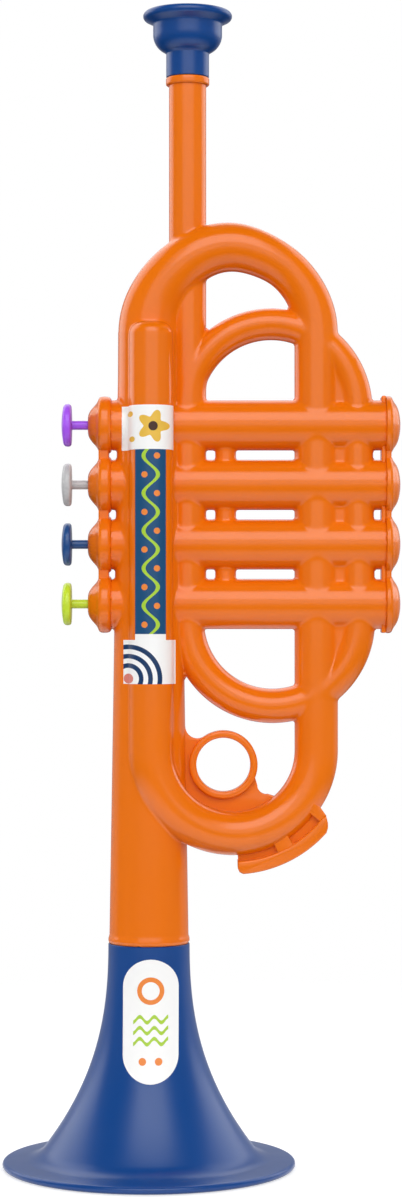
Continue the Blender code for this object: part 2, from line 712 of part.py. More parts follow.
def reed_set(label, z, length):
    """Reed block with its air channel, and the reed that lies over the channel with its root in a slot."""
    face = -GAP / 2
    shallot_end = BLOCK_RIGHT + length + 1.3 * MM
    reed_back = face - GAP
    reed_front = reed_back - REED_THICKNESS
    root = BLOCK_LEFT + 1.0 * MM
    side = REED_HALF_WIDTH + GAP
    block = cylinder(f"block_{label}", (BLOCK_LEFT, 0.0, z), (BLOCK_RIGHT, 0.0, z), REED_BORE - GAP, 14)
    shallot_root = (BLOCK_LEFT + 2.0 * MM, 0.0, z)
    shallot = cylinder(f"shallot_{label}", shallot_root, (shallot_end, 0.0, z), SHALLOT_RADIUS, 10)
    flat = box(f"flat_{label}", (BLOCK_RIGHT - 0.3 * MM, -4.0 * MM, z - 3.2 * MM),
               (shallot_end + 2.0 * MM, face, z + 3.2 * MM))
    slot = box(f"slot_{label}", (root - GAP, reed_front - GAP, z - side),
               (BLOCK_RIGHT + 1.0 * MM, face + 0.05 * MM, z + side))
    channel_mouth = (BLOCK_LEFT - 2.0 * MM, face, z)
    channel_end = (shallot_end - 1.2 * MM, face, z)
    channel = cylinder(f"channel_{label}", channel_mouth, channel_end, AIR_CHANNEL, 8)
    combine(block, "UNION", [shallot])
    combine(block, "DIFFERENCE", [flat, slot, channel])
    reed = box(f"reed_{label}", (root, reed_front, z - REED_HALF_WIDTH),
               (BLOCK_RIGHT + length, reed_back, z + REED_HALF_WIDTH))
    return settled(f"reed_block_{label}", block), reed


def tube_label():
    """Label round the front of the front leg: a band with a wider panel at each end."""
    x = LOW_BOW_X - LOW_BOW_RADIUS
    inside = LEG_RADIUS + GAP
    outside = inside + LABEL_THICKNESS
    low, high = PANEL_LOW[0] - 5.0 * MM, PANEL_HIGH[1] + 5.0 * MM
    sleeve = turned("sleeve", [(outside, high), (outside, low), (inside, low), (inside, high)], 40, ring=True)
    sleeve.location = (x, FRONT_LEG_Y, 0.0)
    right = [
        (PANEL_HALF_WIDTH, PANEL_LOW[0]),
        (PANEL_HALF_WIDTH, PANEL_LOW[1]),
        (BAND_HALF_WIDTH, PANEL_LOW[1]),
        (BAND_HALF_WIDTH, PANEL_HIGH[0]),
        (PANEL_HALF_WIDTH, PANEL_HIGH[0]),
        (PANEL_HALF_WIDTH, PANEL_HIGH[1]),
    ]
    outline = [(x + half, z) for half, z in right] + [(x - half, z) for half, z in reversed(right)]
    depth = 12.0 * MM
    combine(sleeve, "INTERSECT", [plate("tube_label_outline", outline, FRONT_LEG_Y - depth / 2, depth)])
    return finish(settled("tube_label", sleeve), LABEL_WHITE, 0.4)


def bell_label():
    """Label with round ends on the front of the bell."""
    low, high = BELL_LABEL_SPAN
    margin = 2.0 * MM
    outside = flare(GAP + LABEL_THICKNESS, high + margin, low - margin, 6)
    inside = flare(GAP, high + margin, low - margin, 6)
    sleeve = turned("bell_sleeve", outside + inside[::-1], BELL_STEPS, ring=True)
    sleeve.location.x = BELL_X
    half = BELL_LABEL_HALF_WIDTH
    outline = arc((BELL_LABEL_X, high - half), half, 0.0, 180.0, 9)
    outline += arc((BELL_LABEL_X, low + half), half, 180.0, 360.0, 9)
    depth = 40.0 * MM
    combine(sleeve, "INTERSECT", [plate("bell_label_outline", outline, -depth / 2, depth)])
    return finish(settled("bell_label", sleeve), LABEL_WHITE, 0.4)


def least_spring_gap():
    """Least gap of a spring to itself, between points of its wire that are half a turn or more apart."""
    points = [Vector(point) for point in spring_path(0.0)]
    apart = SPRING_POINTS // 2
    gaps = [(other - point).length for i, point in enumerate(points) for other in points[i + apart:]]
    return min(gaps) - 2.0 * SPRING_WIRE


body_shells()
top_cap_strip()
bottom_cap_strip()
mouthpiece()
bell()
for valve in range(VALVES):
    valve_works(valve)
tube_label()
bell_label()
print(f"Least gap of a return spring to itself: {least_spring_gap() / MM:.2f} mm")
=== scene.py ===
"""Looks of a toy trumpet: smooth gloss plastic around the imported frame, printed labels and working valves."""

import math

import bmesh
import bpy
import numpy as np
from mathutils import Matrix, Vector


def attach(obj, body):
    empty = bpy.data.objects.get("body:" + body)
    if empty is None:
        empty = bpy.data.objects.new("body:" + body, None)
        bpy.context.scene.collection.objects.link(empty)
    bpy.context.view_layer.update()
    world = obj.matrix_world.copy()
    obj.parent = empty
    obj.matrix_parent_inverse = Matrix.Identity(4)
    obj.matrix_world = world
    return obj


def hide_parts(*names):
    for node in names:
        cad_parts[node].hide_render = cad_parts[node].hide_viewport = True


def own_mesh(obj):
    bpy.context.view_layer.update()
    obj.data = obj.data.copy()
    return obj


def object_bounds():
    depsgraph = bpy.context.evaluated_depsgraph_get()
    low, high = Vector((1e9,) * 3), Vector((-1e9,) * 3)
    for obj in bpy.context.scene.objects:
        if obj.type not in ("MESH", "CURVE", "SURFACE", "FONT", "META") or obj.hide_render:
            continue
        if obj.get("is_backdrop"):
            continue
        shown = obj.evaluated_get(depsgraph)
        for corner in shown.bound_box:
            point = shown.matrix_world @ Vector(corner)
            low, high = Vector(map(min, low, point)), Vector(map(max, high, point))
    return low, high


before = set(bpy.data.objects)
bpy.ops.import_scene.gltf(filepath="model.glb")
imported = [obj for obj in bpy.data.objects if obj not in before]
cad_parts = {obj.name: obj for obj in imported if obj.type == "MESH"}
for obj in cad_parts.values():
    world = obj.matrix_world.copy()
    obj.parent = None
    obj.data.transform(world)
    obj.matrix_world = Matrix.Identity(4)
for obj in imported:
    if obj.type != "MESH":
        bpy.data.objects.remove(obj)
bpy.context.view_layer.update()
MM = 0.001

# Body: two half shells of gloss orange plastic, injection moulded and welded on the middle plane. Every
# tube of the trumpet is one with them. Plain bars and bent tubes give a rough skin here, which is drawn onto
# the round forms that the mould has, with a fillet wherever two tubes meet, and is then hollowed and parted.
BELL_X = -17.2 * MM
TUBE_BOTTOM = 72.6 * MM
TUBE_HEIGHTS = [z * MM for z in (72.6, 73.1, 74.5, 75.1, 151.0, 231.0, 257.0, 270.8)]
TUBE_RADII = [r * MM for r in (12.9, 13.2, 13.2, 12.85, 11.65, 10.5, 10.1, 10.05)]
SPIGOT_RADIUS = 11.2 * MM
SPIGOT_SPAN = (62.0 * MM, 81.0 * MM)
SPIGOT_FILLET = 0.2 * MM
TOP_BOW = (8.5 * MM, 270.8 * MM)
TOP_BOW_OUTSIDE = 35.65 * MM
TOP_BOW_REACH = 28.6 * MM  # at its end on the right leg
TOP_BOW_TAPER = (10.05, -5.4, 2.4)  # its radius in millimetres, by powers of the way along it
TOP_BOW_FLAT = 0.25 * MM  # how far its crown is lower than a round one
TOP_BOW_SHOULDER = 0.8 * MM  # how far its shoulders are inside a round one
TOP_BOW_SLOPE = 0.33 * MM  # how much flatter it is beside the crown, on the way to the right leg
TOP_BOW_SLOPE_START = 42.0  # degrees
TOP_BOW_SLOPE_SWEEP = 48.0
TOP_BOW_WAIST = 0.45 * MM  # how much slimmer it is there
TOP_BOW_FORWARD = 2.5 * MM
LOW_BOW = (10.4 * MM, 135.2 * MM)
LOW_BOW_REACH = 26.75 * MM
LEG_RADIUS = 7.05 * MM
FRONT_LEG = (LOW_BOW[0] - LOW_BOW_REACH, -9.3 * MM)
FRONT_LEG_TOP = 273.3 * MM
FRONT_LEG_ROUND = 4.0 * MM
LEAD_X = -4.65 * MM
LEAD_RADIUS = 6.05 * MM
COLLAR_RADIUS = 7.05 * MM
COLLAR_SPAN = (351.0 * MM, 353.5 * MM)
RING_SPAN = (177.35 * MM, 245.75 * MM)
RING_PLACES = (22.9 * MM, 22.5 * MM)
RING_TUBES = (5.6 * MM, 5.15 * MM)
RING_BEND = 27.8 * MM
RING_DEPTH = 1.18  # its section is this much deeper than wide
VALVE_HEIGHTS = [(240.7 - 19.35 * n) * MM for n in range(4)]
CASING_SPAN = (-29.6 * MM, 59.8 * MM)
CASING_RADIUS = 8.15 * MM
FLANGE_BAR = (58.2 * MM, 59.62 * MM)
FLANGE_REACH = 9.4 * MM
BAR_HALF = 4.0 * MM
POST_X = 7.7 * MM
POST_RADIUS = 3.4 * MM
WEB_THICKNESS = 3.0 * MM
SIDE_WEB_THICKNESS = 8.0 * MM
SIDE_WEB = ((40.0 * MM, 50.0 * MM), (160.5 * MM, 262.0 * MM))
FINGER = (6.95 * MM, 130.5 * MM)
FINGER_RADII = (8.75 * MM, 11.1 * MM)
FINGER_WIDTH = 7.0 * MM
FINGER_EDGE = 0.8 * MM
HIGH_NOTCH_RADIUS = 3.9 * MM
LOW_NOTCH_RADIUS = 2.9 * MM
HOOK_RADII = (35.7 * MM, 39.9 * MM)
HOOK_START = -88.2  # degrees round the lower bow, as all turns of the hook
HOOK_RIB = (-66.8, -57.7)
HOOK_LIP = (-7.0 * MM, 3.0 * MM)
HOOK_RIB_FRONT = -6.5 * MM
HOOK_WEB = (-4.2 * MM, 0.5 * MM)
FILLET = 0.75 * MM
CRISP = 0.3 * MM
FAR = 1.0
OVERRUN = 9.0 * MM  # how far a tube's form goes on past the plane where a bow takes over
VOXEL = 0.62 * MM
LEAST_STEEP = 0.2  # of the squared slope, so that no step gets wild in a crease


def rounded(first, second, edge):
    """Distance to what lies within two distances at once, with a round edge where they meet."""
    first = first + edge
    second = second + edge
    outside = np.hypot(np.maximum(first, 0.0), np.maximum(second, 0.0))
    return outside + np.minimum(np.maximum(first, second), 0.0) - edge


def melted(distances, fillet):
    """Distance to several forms moulded as one, with a fillet where their surfaces meet."""
    whole = distances[0]
    for other in distances[1:]:
        near = np.maximum(1.0 - np.abs(whole - other) / fillet, 0.0)
        whole = np.minimum(whole, other) - near * near * fillet / 4
    return whole


def between(value, span):
    """Distance to a span along one axis."""
    return np.abs(value - sum(span) / 2) - (span[1] - span[0]) / 2


def rod(p, axis, middle, span, radius, edge=CRISP):
    """Distance to a round rod along one axis, from its middle across that axis and its span along it."""
    across = [p[:, i] for i in range(3) if i != axis]
    from_axis = np.hypot(across[0] - middle[0], across[1] - middle[1])
    return rounded(from_axis - radius, between(p[:, axis], span), edge)


def bow(p, centre, path):
    """Distance to a tube bent about a centre. The path gives its reach, place along Y and radius by turn."""
    x = p[:, 0] - centre[0]
    z = p[:, 2] - centre[1]
    reach, forward, radius = path(np.arctan2(z, x))
    return np.hypot(np.hypot(x, z) - reach, p[:, 1] - forward) - radius


def top_bow(turn):
    """The top bow narrows from the bell tube to the right leg, and leans forward over the lead pipe."""
    way = 1.0 - turn / np.pi
    right = turn < np.pi / 2
    shoulder = np.sin(2.0 * turn) ** 2
    sloping = (np.degrees(turn) - TOP_BOW_SLOPE_START) / TOP_BOW_SLOPE_SWEEP
    slope = np.sin(np.pi * np.clip(sloping, 0.0, 1.0)) ** 2
    broad, narrowing, easing = TOP_BOW_TAPER
    radius = (broad + narrowing * way + easing * way * way) * MM - TOP_BOW_WAIST * shoulder * right
    flattened = TOP_BOW_FLAT * np.sin(turn) ** 2 + TOP_BOW_SHOULDER * shoulder + TOP_BOW_SLOPE * slope
    return TOP_BOW_OUTSIDE - flattened - radius, -TOP_BOW_FORWARD * np.sin(turn) ** 2, radius


def low_bow(turn):
    """The lower bow comes forward on its way from the right leg to the front leg."""
    return LOW_BOW_REACH, FRONT_LEG[1] * (1.0 - np.cos(turn)) / 2, LEG_RADIUS


def arc(centre, radius, start, end, count):
    """Points on an arc from one turn to another, in degrees, both ends included."""
    turns = np.radians(np.linspace(start, end, count + 1))
    return np.stack([centre[0] + radius * np.cos(turns), centre[1] + radius * np.sin(turns)], axis=1)


def spot(centre, radius, turn):
    """One point at a turn about a centre, in degrees."""
    return arc(centre, radius, turn, turn, 0)


def slide_ring(p):
    """Distance to the ring of tube round the valves."""
    x, y, z = p.T
    beyond = z - np.clip(z, *RING_SPAN)
    from_bend = np.hypot(x - np.interp(z, RING_SPAN, RING_PLACES), beyond) - RING_BEND
    return np.hypot(from_bend, y / RING_DEPTH) - np.interp(z, RING_SPAN, RING_TUBES)


def body(p):
    """Distance to the whole moulding, outside, in metres."""
    x, y, z = p.T
    leg_x = np.interp(z, (LOW_BOW[1], TOP_BOW[1]), (LOW_BOW[0] + LOW_BOW_REACH, TOP_BOW[0] + TOP_BOW_REACH))
    right_leg = np.hypot(x - leg_x, y) - LEG_RADIUS
    bows = np.where(z > TOP_BOW[1], bow(p, TOP_BOW, top_bow), right_leg)
    bows = np.where(z < LOW_BOW[1], bow(p, LOW_BOW, low_bow), bows)
    tube_radius = np.interp(z, TUBE_HEIGHTS, TUBE_RADII)
    bell_tube = rod(p, 2, (BELL_X, 0.0), (TUBE_BOTTOM, TOP_BOW[1] + OVERRUN), tube_radius)
    bell_tube = np.where(z > TOP_BOW[1], FAR, bell_tube)
    front_leg = rod(p, 2, FRONT_LEG, (LOW_BOW[1] - OVERRUN, FRONT_LEG_TOP), LEG_RADIUS, FRONT_LEG_ROUND)
    front_leg = np.where(z < LOW_BOW[1], FAR, front_leg)
    lead_pipe = rod(p, 2, (LEAD_X, 0.0), (RING_SPAN[0], COLLAR_SPAN[1]), LEAD_RADIUS)
    post = rod(p, 2, (POST_X, 0.0), (VALVE_HEIGHTS[-1], VALVE_HEIGHTS[0]), POST_RADIUS)
    side_web = rounded(between(x, SIDE_WEB[0]), between(z, SIDE_WEB[1]), CRISP)
    side_web = rounded(side_web, np.abs(y) - SIDE_WEB_THICKNESS / 2, CRISP)
    casings = [rod(p, 0, (0.0, height), CASING_SPAN, CASING_RADIUS) for height in VALVE_HEIGHTS]
    whole = melted([bows, bell_tube, front_leg, lead_pipe, slide_ring(p), post, side_web, *casings], FILLET)
    spigot = rod(p, 2, (BELL_X, 0.0), SPIGOT_SPAN, SPIGOT_RADIUS)
    return melted([whole, spigot], SPIGOT_FILLET)


def slope_of(distance, points, here):
    """How a distance changes along X, Y and Z at some points."""
    step = 0.01 * MM
    return np.stack([(distance(points + move) - here) / step for move in np.eye(3) * step], axis=1)


def onto(points, distance):
    """Points moved one step towards the surface that a distance measures from."""
    here = distance(points)
    slope = slope_of(distance, points, here)
    steep = np.maximum((slope * slope).sum(axis=1), LEAST_STEEP)
    return points - np.clip(here / steep, -MM, MM)[:, None] * slope


def settled(name, source):
    """A new object with the mesh that another one shows, modifiers included. The source is removed."""
    bpy.context.view_layer.update()
    result = source.evaluated_get(bpy.context.evaluated_depsgraph_get())
    mesh = bpy.data.meshes.new_from_object(result)
    bpy.data.objects.remove(source, do_unlink=True)
    return placed(name, mesh)


def placed(name, mesh):
    """A new object at the origin, from a mesh or a bmesh."""
    if isinstance(mesh, bmesh.types.BMesh):
        bm = mesh
        mesh = bpy.data.meshes.new(name)
        bm.to_mesh(mesh)
        bm.free()
    obj = bpy.data.objects.new(name, mesh)
    bpy.context.scene.collection.objects.link(obj)
    return obj


def polished(name, rough, distance, voxel):
    """A closed skin over a rough bmesh, drawn onto the surface that a distance measures from."""
    obj = placed(name, rough)
    remesh = obj.modifiers.new("skin", "REMESH")
    remesh.mode = "VOXEL"
    remesh.voxel_size = voxel
    obj = settled(name, obj)
    bm = bmesh.new()
    bm.from_mesh(obj.data)
    for _ in range(3):
        bmesh.ops.smooth_vert(bm, verts=bm.verts, factor=0.5, use_axis_x=True, use_axis_y=True,
                              use_axis_z=True)
        points = np.array([vert.co for vert in bm.verts])
        for _ in range(3):
            points = onto(points, distance)
        for vert, point in zip(bm.verts, points):
            vert.co = point
    bm.to_mesh(obj.data)
    bm.free()
    return obj


def carved(obj, operation, others):
    """An object cut or joined with others, which are removed."""
    for other in others:
        cut = obj.modifiers.new(other.name, "BOOLEAN")
        cut.operation = operation
        cut.solver = "MANIFOLD"
        cut.object = other
    name = obj.name
    obj = settled(name, obj)
    for other in others:
        bpy.data.objects.remove(other, do_unlink=True)
    return obj


def round_bar(start, end, radius, sides=48, end_radius=None):
    """A bmesh of a round bar between the middles of its ends, or of a cone if its end has another radius."""
    bm = bmesh.new()
    axis = Vector(end) - Vector(start)
    turn = axis.to_track_quat("Z", "Y").to_matrix().to_4x4()
    place = Matrix.Translation((Vector(start) + Vector(end)) / 2) @ turn
    bmesh.ops.create_cone(bm, cap_ends=True, segments=sides, radius1=radius, radius2=end_radius or radius,
                          depth=axis.length, matrix=place)
    return bm


def added(bm, other):
    """Puts a second bmesh into the first."""
    mesh = bpy.data.meshes.new("added")
    other.to_mesh(mesh)
    other.free()
    bm.from_mesh(mesh)
    bpy.data.meshes.remove(mesh)


def block(low, high, edge=0.0):
    """A bmesh of a box between two corners, its edges rounded."""
    bm = bmesh.new()
    size = Vector(high) - Vector(low)
    place = Matrix.Translation((Vector(low) + Vector(high)) / 2) @ Matrix.Diagonal((*size, 1.0))
    bmesh.ops.create_cube(bm, size=1.0, matrix=place)
    if edge:
        bmesh.ops.bevel(bm, geom=bm.edges, offset=edge, offset_type="OFFSET", segments=3, profile=0.5,
                        affect="EDGES", material=-1)
    return bm


def sheet(outline, span, edge):
    """A bmesh of a sheet with an outline of (x, z) points and a span along Y, its rims rounded."""
    bm = bmesh.new()
    front, back = [[bm.verts.new((x, y, z)) for x, z in outline] for y in span]
    bm.faces.new(front)
    bm.faces.new(back)
    for i in range(len(outline)):
        bm.faces.new((front[i - 1], front[i], back[i], back[i - 1]))
    bmesh.ops.recalc_face_normals(bm, faces=bm.faces)
    rims = [rim for rim in bm.edges if rim.verts[0].co.y == rim.verts[1].co.y]
    bmesh.ops.bevel(bm, geom=rims, offset=edge, offset_type="OFFSET", segments=3, profile=0.5,
                    affect="EDGES", material=-1)
    return bm


def spun(profile, axis, centre, steps=96, ring=False):
    """A bmesh of (radius, place along the axis) points spun about an axis. A ring's profile is a loop."""
    bm = bmesh.new()
    along = Vector(axis)
    out = Vector((axis[2], 0.0, 1.0 - axis[2]))
    spots = [bm.verts.new(Vector(centre) + out * radius + along * place) for radius, place in profile]
    ends = spots[1:] + spots[:1] if ring else spots[1:]
    edges = [bm.edges.new(pair) for pair in zip(spots, ends)]
    bmesh.ops.spin(bm, geom=spots + edges, cent=centre, axis=axis, angle=2.0 * math.pi, steps=steps,
                   use_merge=True)
    bmesh.ops.remove_doubles(bm, verts=bm.verts, dist=0.001 * MM)
    bmesh.ops.recalc_face_normals(bm, faces=bm.faces)
    return bm


def washer(inner, outer, span, edge):
    """Profile of a ring with rounded edges."""
    profile = [*arc((outer - edge, span[1] - edge), edge, 90.0, 0.0, 3)]
    profile += [*arc((outer - edge, span[0] + edge), edge, 0.0, -90.0, 3)]
    profile += [*arc((inner + edge, span[0] + edge), edge, 270.0, 180.0, 3)]
    profile += [*arc((inner + edge, span[1] - edge), edge, 180.0, 90.0, 3)]
    return profile


def piped(name, path):
    """A tube along (point, radius) pairs."""
    curve = bpy.data.curves.new(name, "CURVE")
    curve.dimensions = "3D"
    curve.bevel_depth = 1.0
    curve.bevel_resolution = 8
    curve.use_fill_caps = True
    spline = curve.splines.new("POLY")
    spline.points.add(len(path) - 1)
    for spot, (point, radius) in zip(spline.points, path):
        spot.co = (*point, 1.0)
        spot.radius = radius
    obj = bpy.data.objects.new(name, curve)
    bpy.context.scene.collection.objects.link(obj)
    obj = settled(name, obj)
    bm = bmesh.new()
    bm.from_mesh(obj.data)
    bmesh.ops.remove_doubles(bm, verts=bm.verts, dist=0.001 * MM)
    bm.to_mesh(obj.data)
    bm.free()
    return obj


X_AXIS, Y_AXIS, Z_AXIS = (1.0, 0.0, 0.0), (0.0, 1.0, 0.0), (0.0, 0.0, 1.0)
BELL_BORE = 9.6 * MM
LEAD_BORE = 4.3 * MM
STEM_BORE = 5.4 * MM
REED_BORE = 6.2 * MM
STEM_HOLLOW = (-32.0 * MM, 2.0 * MM)
REED_HOLLOW = (1.2 * MM, 60.0 * MM)
BELL_HOLLOW = (60.0 * MM, 171.0 * MM)
LEAD_HOLLOW_TOP = 357.0 * MM
BOW_HOLLOW_START = ((BELL_X, 0.0, 253.0 * MM), 8.2 * MM)
FRONT_HOLLOW = (FRONT_LEG[0], -10.9 * MM)
FRONT_HOLLOW_SPAN = (150.0 * MM, 248.0 * MM)
FRONT_HOLLOW_RADIUS = 3.6 * MM
SHELL_WALL = 1.7 * MM
PARTING = 0.07 * MM  # half the width of the line where the halves are welded
CUT_REACH = 0.02
bow_path = []
bends = [(TOP_BOW, top_bow, np.pi, 0.0), (LOW_BOW, low_bow, 0.0, -np.pi)]
for centre, path, first, last in bends:
    for turn in np.linspace(first, last, 25):
        reach, forward, radius = path(turn)
        point = (centre[0] + reach * math.cos(turn), forward, centre[1] + reach * math.sin(turn))
        bow_path.append((point, radius))
ring_path = np.concatenate([
    arc((RING_PLACES[1], RING_SPAN[1]), RING_BEND, 180.0, 0.0, 36),
    arc((RING_PLACES[0], RING_SPAN[0]), RING_BEND, 0.0, -180.0, 36),
])
rough = bmesh.new()
tubes = [
    piped("bows", [*bow_path, ((*FRONT_LEG, FRONT_LEG_TOP - MM), LEG_RADIUS)]),
    piped("ring", [((x, 0.0, z), RING_TUBES[0]) for x, z in ring_path]),
]
for tube in tubes:
    rough.from_mesh(tube.data)
    bpy.data.objects.remove(tube, do_unlink=True)
bars = [
    ((BELL_X, 0.0, TUBE_BOTTOM), (BELL_X, 0.0, TOP_BOW[1]), TUBE_RADII[3], TUBE_RADII[-1]),
    ((BELL_X, 0.0, SPIGOT_SPAN[0]), (BELL_X, 0.0, SPIGOT_SPAN[1]), SPIGOT_RADIUS, SPIGOT_RADIUS),
    ((LEAD_X, 0.0, RING_SPAN[0]), (LEAD_X, 0.0, COLLAR_SPAN[1]), LEAD_RADIUS, LEAD_RADIUS),
    ((POST_X, 0.0, VALVE_HEIGHTS[-1]), (POST_X, 0.0, VALVE_HEIGHTS[0]), POST_RADIUS, POST_RADIUS),
]
for z in VALVE_HEIGHTS:
    bars.append(((CASING_SPAN[0], 0.0, z), (CASING_SPAN[1], 0.0, z), CASING_RADIUS, CASING_RADIUS))
for start, end, radius, end_radius in bars:
    added(rough, round_bar(start, end, radius, end_radius=end_radius))
web_low = (SIDE_WEB[0][0], -SIDE_WEB_THICKNESS / 2, SIDE_WEB[1][0])
web_high = (SIDE_WEB[0][1], SIDE_WEB_THICKNESS / 2, SIDE_WEB[1][1])
added(rough, block(web_low, web_high))
moulding = polished("moulding", rough, body, VOXEL)

high_notch = (BELL_X + 15.7 * MM, FINGER[1] + 12.4 * MM)
low_notch = (FINGER[0] + 13.95 * MM, FINGER[1] - 6.7 * MM)
finger_web = np.concatenate([
    [(BELL_X, high_notch[1])],
    arc(high_notch, HIGH_NOTCH_RADIUS, 180.0, 304.0, 12),
    [FINGER],
    spot(FINGER, FINGER_RADII[1], -21.8),
    arc(low_notch, LOW_NOTCH_RADIUS, 180.0, 280.0, 8),
    arc(LOW_BOW, LOW_BOW_REACH, -40.0, -150.0, 12),
    [(BELL_X, LOW_BOW[1] - 20.0 * MM)],
])
hook_end = [(33.4, -33.3), (36.3, -35.1), (38.3, -37.7), (39.2, -39.4)]
hook_end = np.concatenate([spot(LOW_BOW, reach * MM, turn) for reach, turn in hook_end])
hook_lip = np.concatenate([
    hook_end[1:],
    arc(LOW_BOW, HOOK_RADII[1], -41.6, HOOK_START + 2.4, 18),
    spot(LOW_BOW, HOOK_RADII[1] - 0.7 * MM, HOOK_START + 0.7),
    spot(LOW_BOW, HOOK_RADII[1] - 1.9 * MM, HOOK_START),
    arc(LOW_BOW, HOOK_RADII[0], HOOK_START, -38.0, 16),
])
hook_rib = np.concatenate([
    arc(LOW_BOW, HOOK_RADII[0] + MM, *HOOK_RIB, 3),
    arc(LOW_BOW, LOW_BOW_REACH, *HOOK_RIB[::-1], 3),
])
hook_stop = np.concatenate([
    hook_end[:3],
    spot(LOW_BOW, HOOK_RADII[0] + MM, -39.5),
    arc(LOW_BOW, LOW_BOW_REACH, -39.5, -33.3, 2),
])
hook_web = np.concatenate([
    arc(LOW_BOW, HOOK_RADII[0] + MM, HOOK_START + 0.3, -38.0, 16),
    arc(LOW_BOW, LOW_BOW_REACH, -38.0, HOOK_START + 0.3, 16),
])
hole_ends = [(FINGER[0], y, FINGER[1]) for y in (-CUT_REACH, CUT_REACH)]
finger_hole = round_bar(*hole_ends, FINGER_RADII[0] + FINGER_EDGE, 96)
finger_plate = placed("finger_plate", sheet(finger_web, (-WEB_THICKNESS / 2, WEB_THICKNESS / 2), CRISP))
finger_plate = carved(finger_plate, "DIFFERENCE", [placed("finger_hole", finger_hole)])
finger_ring = washer(*FINGER_RADII, (-FINGER_WIDTH / 2, FINGER_WIDTH / 2), FINGER_EDGE)
collar = washer(0.7 * LEAD_BORE, COLLAR_RADIUS, COLLAR_SPAN, 0.5 * MM)
flange_low = (FLANGE_BAR[0], -BAR_HALF, VALVE_HEIGHTS[-1] - FLANGE_REACH)
flange_high = (FLANGE_BAR[1], BAR_HALF, VALVE_HEIGHTS[0] + FLANGE_REACH)
joined = [
    finger_plate,
    placed("finger_ring", spun(finger_ring, Y_AXIS, (FINGER[0], 0.0, FINGER[1]), ring=True)),
    placed("hook_lip", sheet(hook_lip, HOOK_LIP, 0.6 * MM)),
    placed("hook_rib", sheet(hook_rib, (HOOK_RIB_FRONT, HOOK_WEB[1]), CRISP)),
    placed("hook_stop", sheet(hook_stop, (HOOK_RIB_FRONT, HOOK_LIP[1] - CRISP), CRISP)),
    placed("hook_web", sheet(hook_web, HOOK_WEB, CRISP)),
    placed("flange_bar", block(flange_low, flange_high, 0.5 * MM)),
    placed("collar", spun(collar, Z_AXIS, (LEAD_X, 0.0, 0.0), ring=True)),
]
moulding = carved(moulding, "UNION", joined)
inner_bow = [(point, radius - SHELL_WALL) for point, radius in bow_path]
inner_bow = [BOW_HOLLOW_START, *inner_bow]
inner_bow += [((*FRONT_HOLLOW, z), FRONT_HOLLOW_RADIUS) for z in FRONT_HOLLOW_SPAN]
inner_ring = [((x, 0.0, z), RING_TUBES[1] - SHELL_WALL) for x, z in ring_path[10:-10]]
hollows = [
    piped("bow_hollow", inner_bow),
    piped("ring_hollow", inner_ring),
    placed("bell_hollow", round_bar((BELL_X, 0.0, BELL_HOLLOW[0]), (BELL_X, 0.0, BELL_HOLLOW[1]), BELL_BORE)),
    placed("lead_hollow", round_bar((LEAD_X, 0.0, RING_SPAN[0]), (LEAD_X, 0.0, LEAD_HOLLOW_TOP), LEAD_BORE)),
]
for height in VALVE_HEIGHTS:
    stem_hollow = round_bar((STEM_HOLLOW[0], 0.0, height), (STEM_HOLLOW[1], 0.0, height), STEM_BORE)
    reed_hollow = round_bar((REED_HOLLOW[0], 0.0, height), (REED_HOLLOW[1], 0.0, height), REED_BORE)
    hollows += [placed("stem_hollow", stem_hollow), placed("reed_hollow", reed_hollow)]
moulding = carved(moulding, "DIFFERENCE", hollows)


class Maths:
    """A socket of a material's nodes. Arithmetic on it adds Math nodes."""

    def __init__(self, tree, socket=None):
        self.tree = tree
        self.socket = socket

    def add(self, kind, settings=None, sockets=None, output=0):
        """Adds a node with its settings and its sockets' values or links, and gives one of its outputs."""
        node = self.tree.nodes.new(kind)
        for name, value in (settings or {}).items():
            setattr(node, name, value)
        for name, value in (sockets or {}).items():
            if isinstance(value, Maths):
                self.tree.links.new(value.socket, node.inputs[name])
            else:
                node.inputs[name].default_value = value
        return Maths(self.tree, node.outputs[output])

    def math(self, operation, *others):
        """A Math node of this socket and others."""
        return self.add("ShaderNodeMath", {"operation": operation}, dict(enumerate((self, *others))))

    def __add__(self, other):
        return self.math("ADD", other)

    def __sub__(self, other):
        return self.math("SUBTRACT", other)

    def __rsub__(self, other):
        return self.add("ShaderNodeMath", {"operation": "SUBTRACT"}, {0: other, 1: self})

    def __mul__(self, other):
        return self.math("MULTIPLY", other)

    def __truediv__(self, other):
        return self.math("DIVIDE", other)

    def __abs__(self):
        return self.math("ABSOLUTE")

    def __lt__(self, other):
        return self.math("LESS_THAN", other)

    def __gt__(self, other):
        return self.math("GREATER_THAN", other)

    def over(self, below, above):
        """One colour laid over another where this mask is 1."""
        return self.add("ShaderNodeMix", {"data_type": "RGBA"}, {0: self, 6: below, 7: above}, output=2)

    def part(self, axis):
        """The X, Y or Z of this vector."""
        return self.add("ShaderNodeSeparateXYZ", sockets={0: self}, output=axis)

    def ramp(self, low, high, first=0.0, last=1.0):
        """A smooth step from a first result, where this is low, to a last one, where it is high."""
        ends = {"Value": self, "From Min": low, "From Max": high, "To Min": first, "To Max": last}
        return self.add("ShaderNodeMapRange", {"interpolation_type": "SMOOTHSTEP"}, ends)


GLOSS = 0.54


def painted(name):
    """A new material, with its surface node, the start of its maths and its object coordinates."""
    material = bpy.data.materials.new(name)
    material.use_nodes = True
    start = Maths(material.node_tree)
    place = start.add("ShaderNodeTexCoord", output="Object")
    return material, material.node_tree.nodes["Principled BSDF"], start, place


